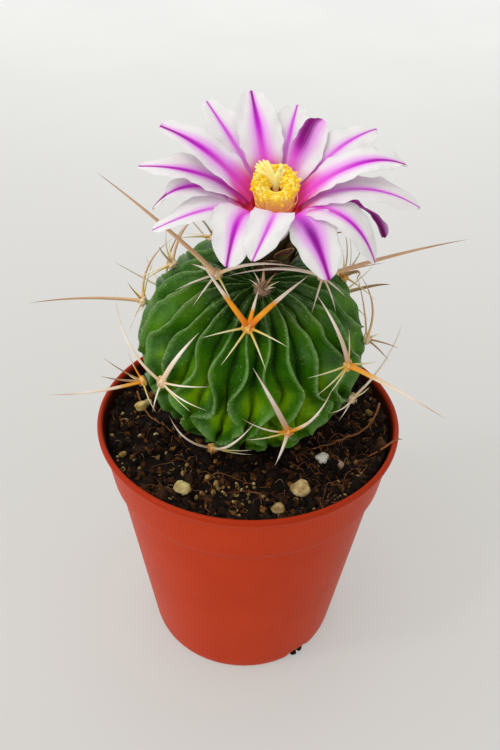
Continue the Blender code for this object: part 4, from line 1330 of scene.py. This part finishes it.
def finger_paths(s):
    """From the style's end: sideways by the tip's reach times s^1.2, upwards by its height
    times 1.7 s - 0.7 s^2."""
    x, y, up = FINGER_TIPS.T[..., None]
    return STYLE_END + joined(x * s ** 1.2, y * s ** 1.2, up * (1.7 * s - 0.7 * s ** 2))


def stigma_finish():
    """Pale yellow velvet, with a painted glow: a faint emission of the same colour."""
    velvet = Finish("stigma", 0.8, **flesh(0.4, 0.0008))
    fine = velvet.fine(1500)
    pale = velvet.ramp(fine, (0.35, 255, 228, 120), (0.65, 255, 240, 166))
    # painted glow: the stigma emits its own colour faintly
    return velvet.dress(pale, fine, 0.4, Emission_Color=pale, Emission_Strength=0.08)


radii = FINGER_RADII * (1 - 0.2 * s ** 2 + 0.4 * np.exp(-(s / 0.25) ** 2))
radii[:, -1] *= 0.5
style = np.linspace([0, 0, -4.6], STYLE_END + (0, 0, 0.2), 10)
shells = [round_tubes(finger_paths(s), radii, 10), round_tubes(style[None], 0.5, 12)]
make_piece("stigma_fingers", shells, [stigma_finish()], "pistil", FLOWER)

# %% [markdown]
# ## Granules and grit
#
# The larger bits on the soil are pieces of their own in the solid model. Each is a ball cut
# by flat planes at random, as crushed stone is: in any direction the surface lies where the
# nearest plane is met. Two layers of waves then take the sharpness off; the white one is a
# puffed mineral granule, so it also has small pits.

# %% The stones
def pebble_shell(centre, half, seed, pitted):
    """A ball of the node's half sizes times min over planes of h / (d . n), at most 1.05, then
    pushed in and out by fine waves."""
    dice, ball = new_dice(seed), round_ball(40, 60, 88)
    facing = np.maximum(ball @ unit(dice.normal(size=(13, 3))).T, 0.05)
    reach = np.minimum((dice.uniform(0.7, 0.95, 13) / facing).min(axis=-1), 1.05)
    lump = reach + 0.05 * waves(ball, 1.1, seed) + 0.03 * waves(ball, 0.4, seed + 1)
    if pitted:
        lump -= 0.16 * ease(0.3, 1, waves(ball, 0.32, seed + 2))
    return tube_shell(centre + ball * lump[..., None] * half)


def stone_finish(name, dark, pale):
    """Cloudy between two tints, with dark pores and stain."""
    stone = Finish(name, 0.85)
    pores = stone.times(stone.effect(FLECKS, Scale=3200, Size=0.25, Thin=0.5), 0.45)
    colour = stone.coats(stone.ramp(stone.cloud(700), (0.35, *dark), (0.6, *pale)),
                         (pores, dark))
    return stone.dress(colour, stone.fine(700), 0.6)


# Each stone's node, slot, finish and two tints
STONES = [
    ("perlite_right", "perlite", "white_granule", (214, 204, 186), (246, 242, 232)),
    ("grit_right", "grit", "pink_grit", (176, 130, 104), (222, 188, 164)),
    ("grit_front", "grit", "sand_grit", (150, 116, 64), (214, 184, 128)),
    ("grit_rim", "grit", "ochre_grit", (128, 98, 50), (190, 160, 104)),
    ("grit_left", "grit", "straw_grit", (158, 130, 70), (216, 194, 132)),
    ("grit_back", "grit", "yellow_grit", (176, 146, 70), (228, 206, 140))]
for number, (name, slot, *finish) in enumerate(STONES):
    low, high = np.array(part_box(name)) / MM
    shell = pebble_shell((low + high) / 2 - (0, 0.8, 0), (high - low) / 2, 90 + 3 * number,
                         slot == "perlite")
    make_piece(name + "_stone", [shell], [stone_finish(*finish)], name)

# %% [markdown]
# ## Floor, light and camera
#
# The part stands on a plain pale floor under soft studio light. One broad lamp above the
# left shoulder gives the form its shading. A second one behind lightens the far floor. A
# tiny one leaves small highlights on the wax. A pale sky, a little dimmer on the right,
# fills in everywhere. Big lamps near a small object give soft shadow edges.

# %% Floor
def floor_finish():
    """Pale warm paper near the pot and, as painted light, paler far behind it, with a faint
    cloudy tone. It is lit from below like a light table, half of its brightness, which keeps
    shadows faint."""
    floor = Finish("pale_floor", 0.9, 0.1)
    away = floor.parts(floor.put("TexCoord", out=3))[1]
    paper = floor.coats(
        # painted light: the paper grows paler towards the back
        (213, 211, 207), (floor.between(away, 0, 0.5), (242, 241, 239)),
        (floor.between(floor.cloud(12), 0.35, 0.65, 0, 0.08), (202, 204, 203)))
    return floor.dress(floor.coats(paper, (0.5, (0, 0, 0))), Emission_Color=paper,
                       Emission_Strength=0.5)


FLOOR_HALF = 3.0
mesh = bpy.data.meshes.new("floor")
corners = [(-1, -1, 0), (1, -1, 0), (1, 1, 0), (-1, 1, 0)]
mesh.from_pydata((np.array(corners) * FLOOR_HALF).tolist(), [], [(0, 1, 2, 3)])
mesh.materials.append(floor_finish())
floor = new_object("floor", mesh)
print("floor: staging, not a part of the object")


# %% Lamps and sky
def add_lamp(name, place, aim, size, power, colour):
    """A square area lamp at a place, turned towards an aim, both in metres."""
    data = bpy.data.lights.new(name, "AREA")
    data.shape, data.size, data.energy, data.color = "SQUARE", size, power, colour
    lamp = new_object(name, data)
    lamp.location = place
    x, y, z = np.array(aim) - place
    lamp.rotation_euler = (np.arctan2(np.hypot(x, y), -z), 0, np.arctan2(y, x) - np.pi / 2)


add_lamp("key", (-1.0, -0.65, 0.95), (0, 0, 0.05), 1.5, 4.4, (1, 0.99, 0.96))
add_lamp("back", (0.1, 1.3, 0.7), (0, 0.6, 0), 0.9, 1.0, (1, 1, 1))
add_lamp("glint", (-0.3, -0.2, 0.6), (0, 0, 0.06), 0.06, 0.45, (1, 1, 1))
scene = bpy.context.scene
scene.world = bpy.data.worlds.new("sky")
scene.world.use_nodes = True
sky = Graph(scene.world.node_tree)
background = sky.tree.nodes["Background"].inputs
background[0].default_value = (0.98, 1.0, 0.99, 1.0)
rightward = sky.parts(sky.put("TexCoord"))[0]
sky.join(background[1], sky.between(rightward, -0.1, 0.9, 0.99, 0.6))
scene.view_settings.view_transform = "Standard"
print("three lamps and a pale sky")

# %% [markdown]
# The camera looks down at the plant from a hand's span away, about 37 degrees below the
# level, with a lens of 43.6 mm on a 36 mm frame, turned a little about its own axis.

# %% Camera
camera = new_object("camera", bpy.data.cameras.new("camera"))
camera.data.lens, camera.data.clip_start, camera.data.clip_end = 43.63, 0.005, 20.0
camera.location = np.array([0.0, -128.85, 156.6]) * MM
camera.rotation_euler = np.radians([53.06, -1.42, 1.04])
scene.camera = camera
print("camera set")
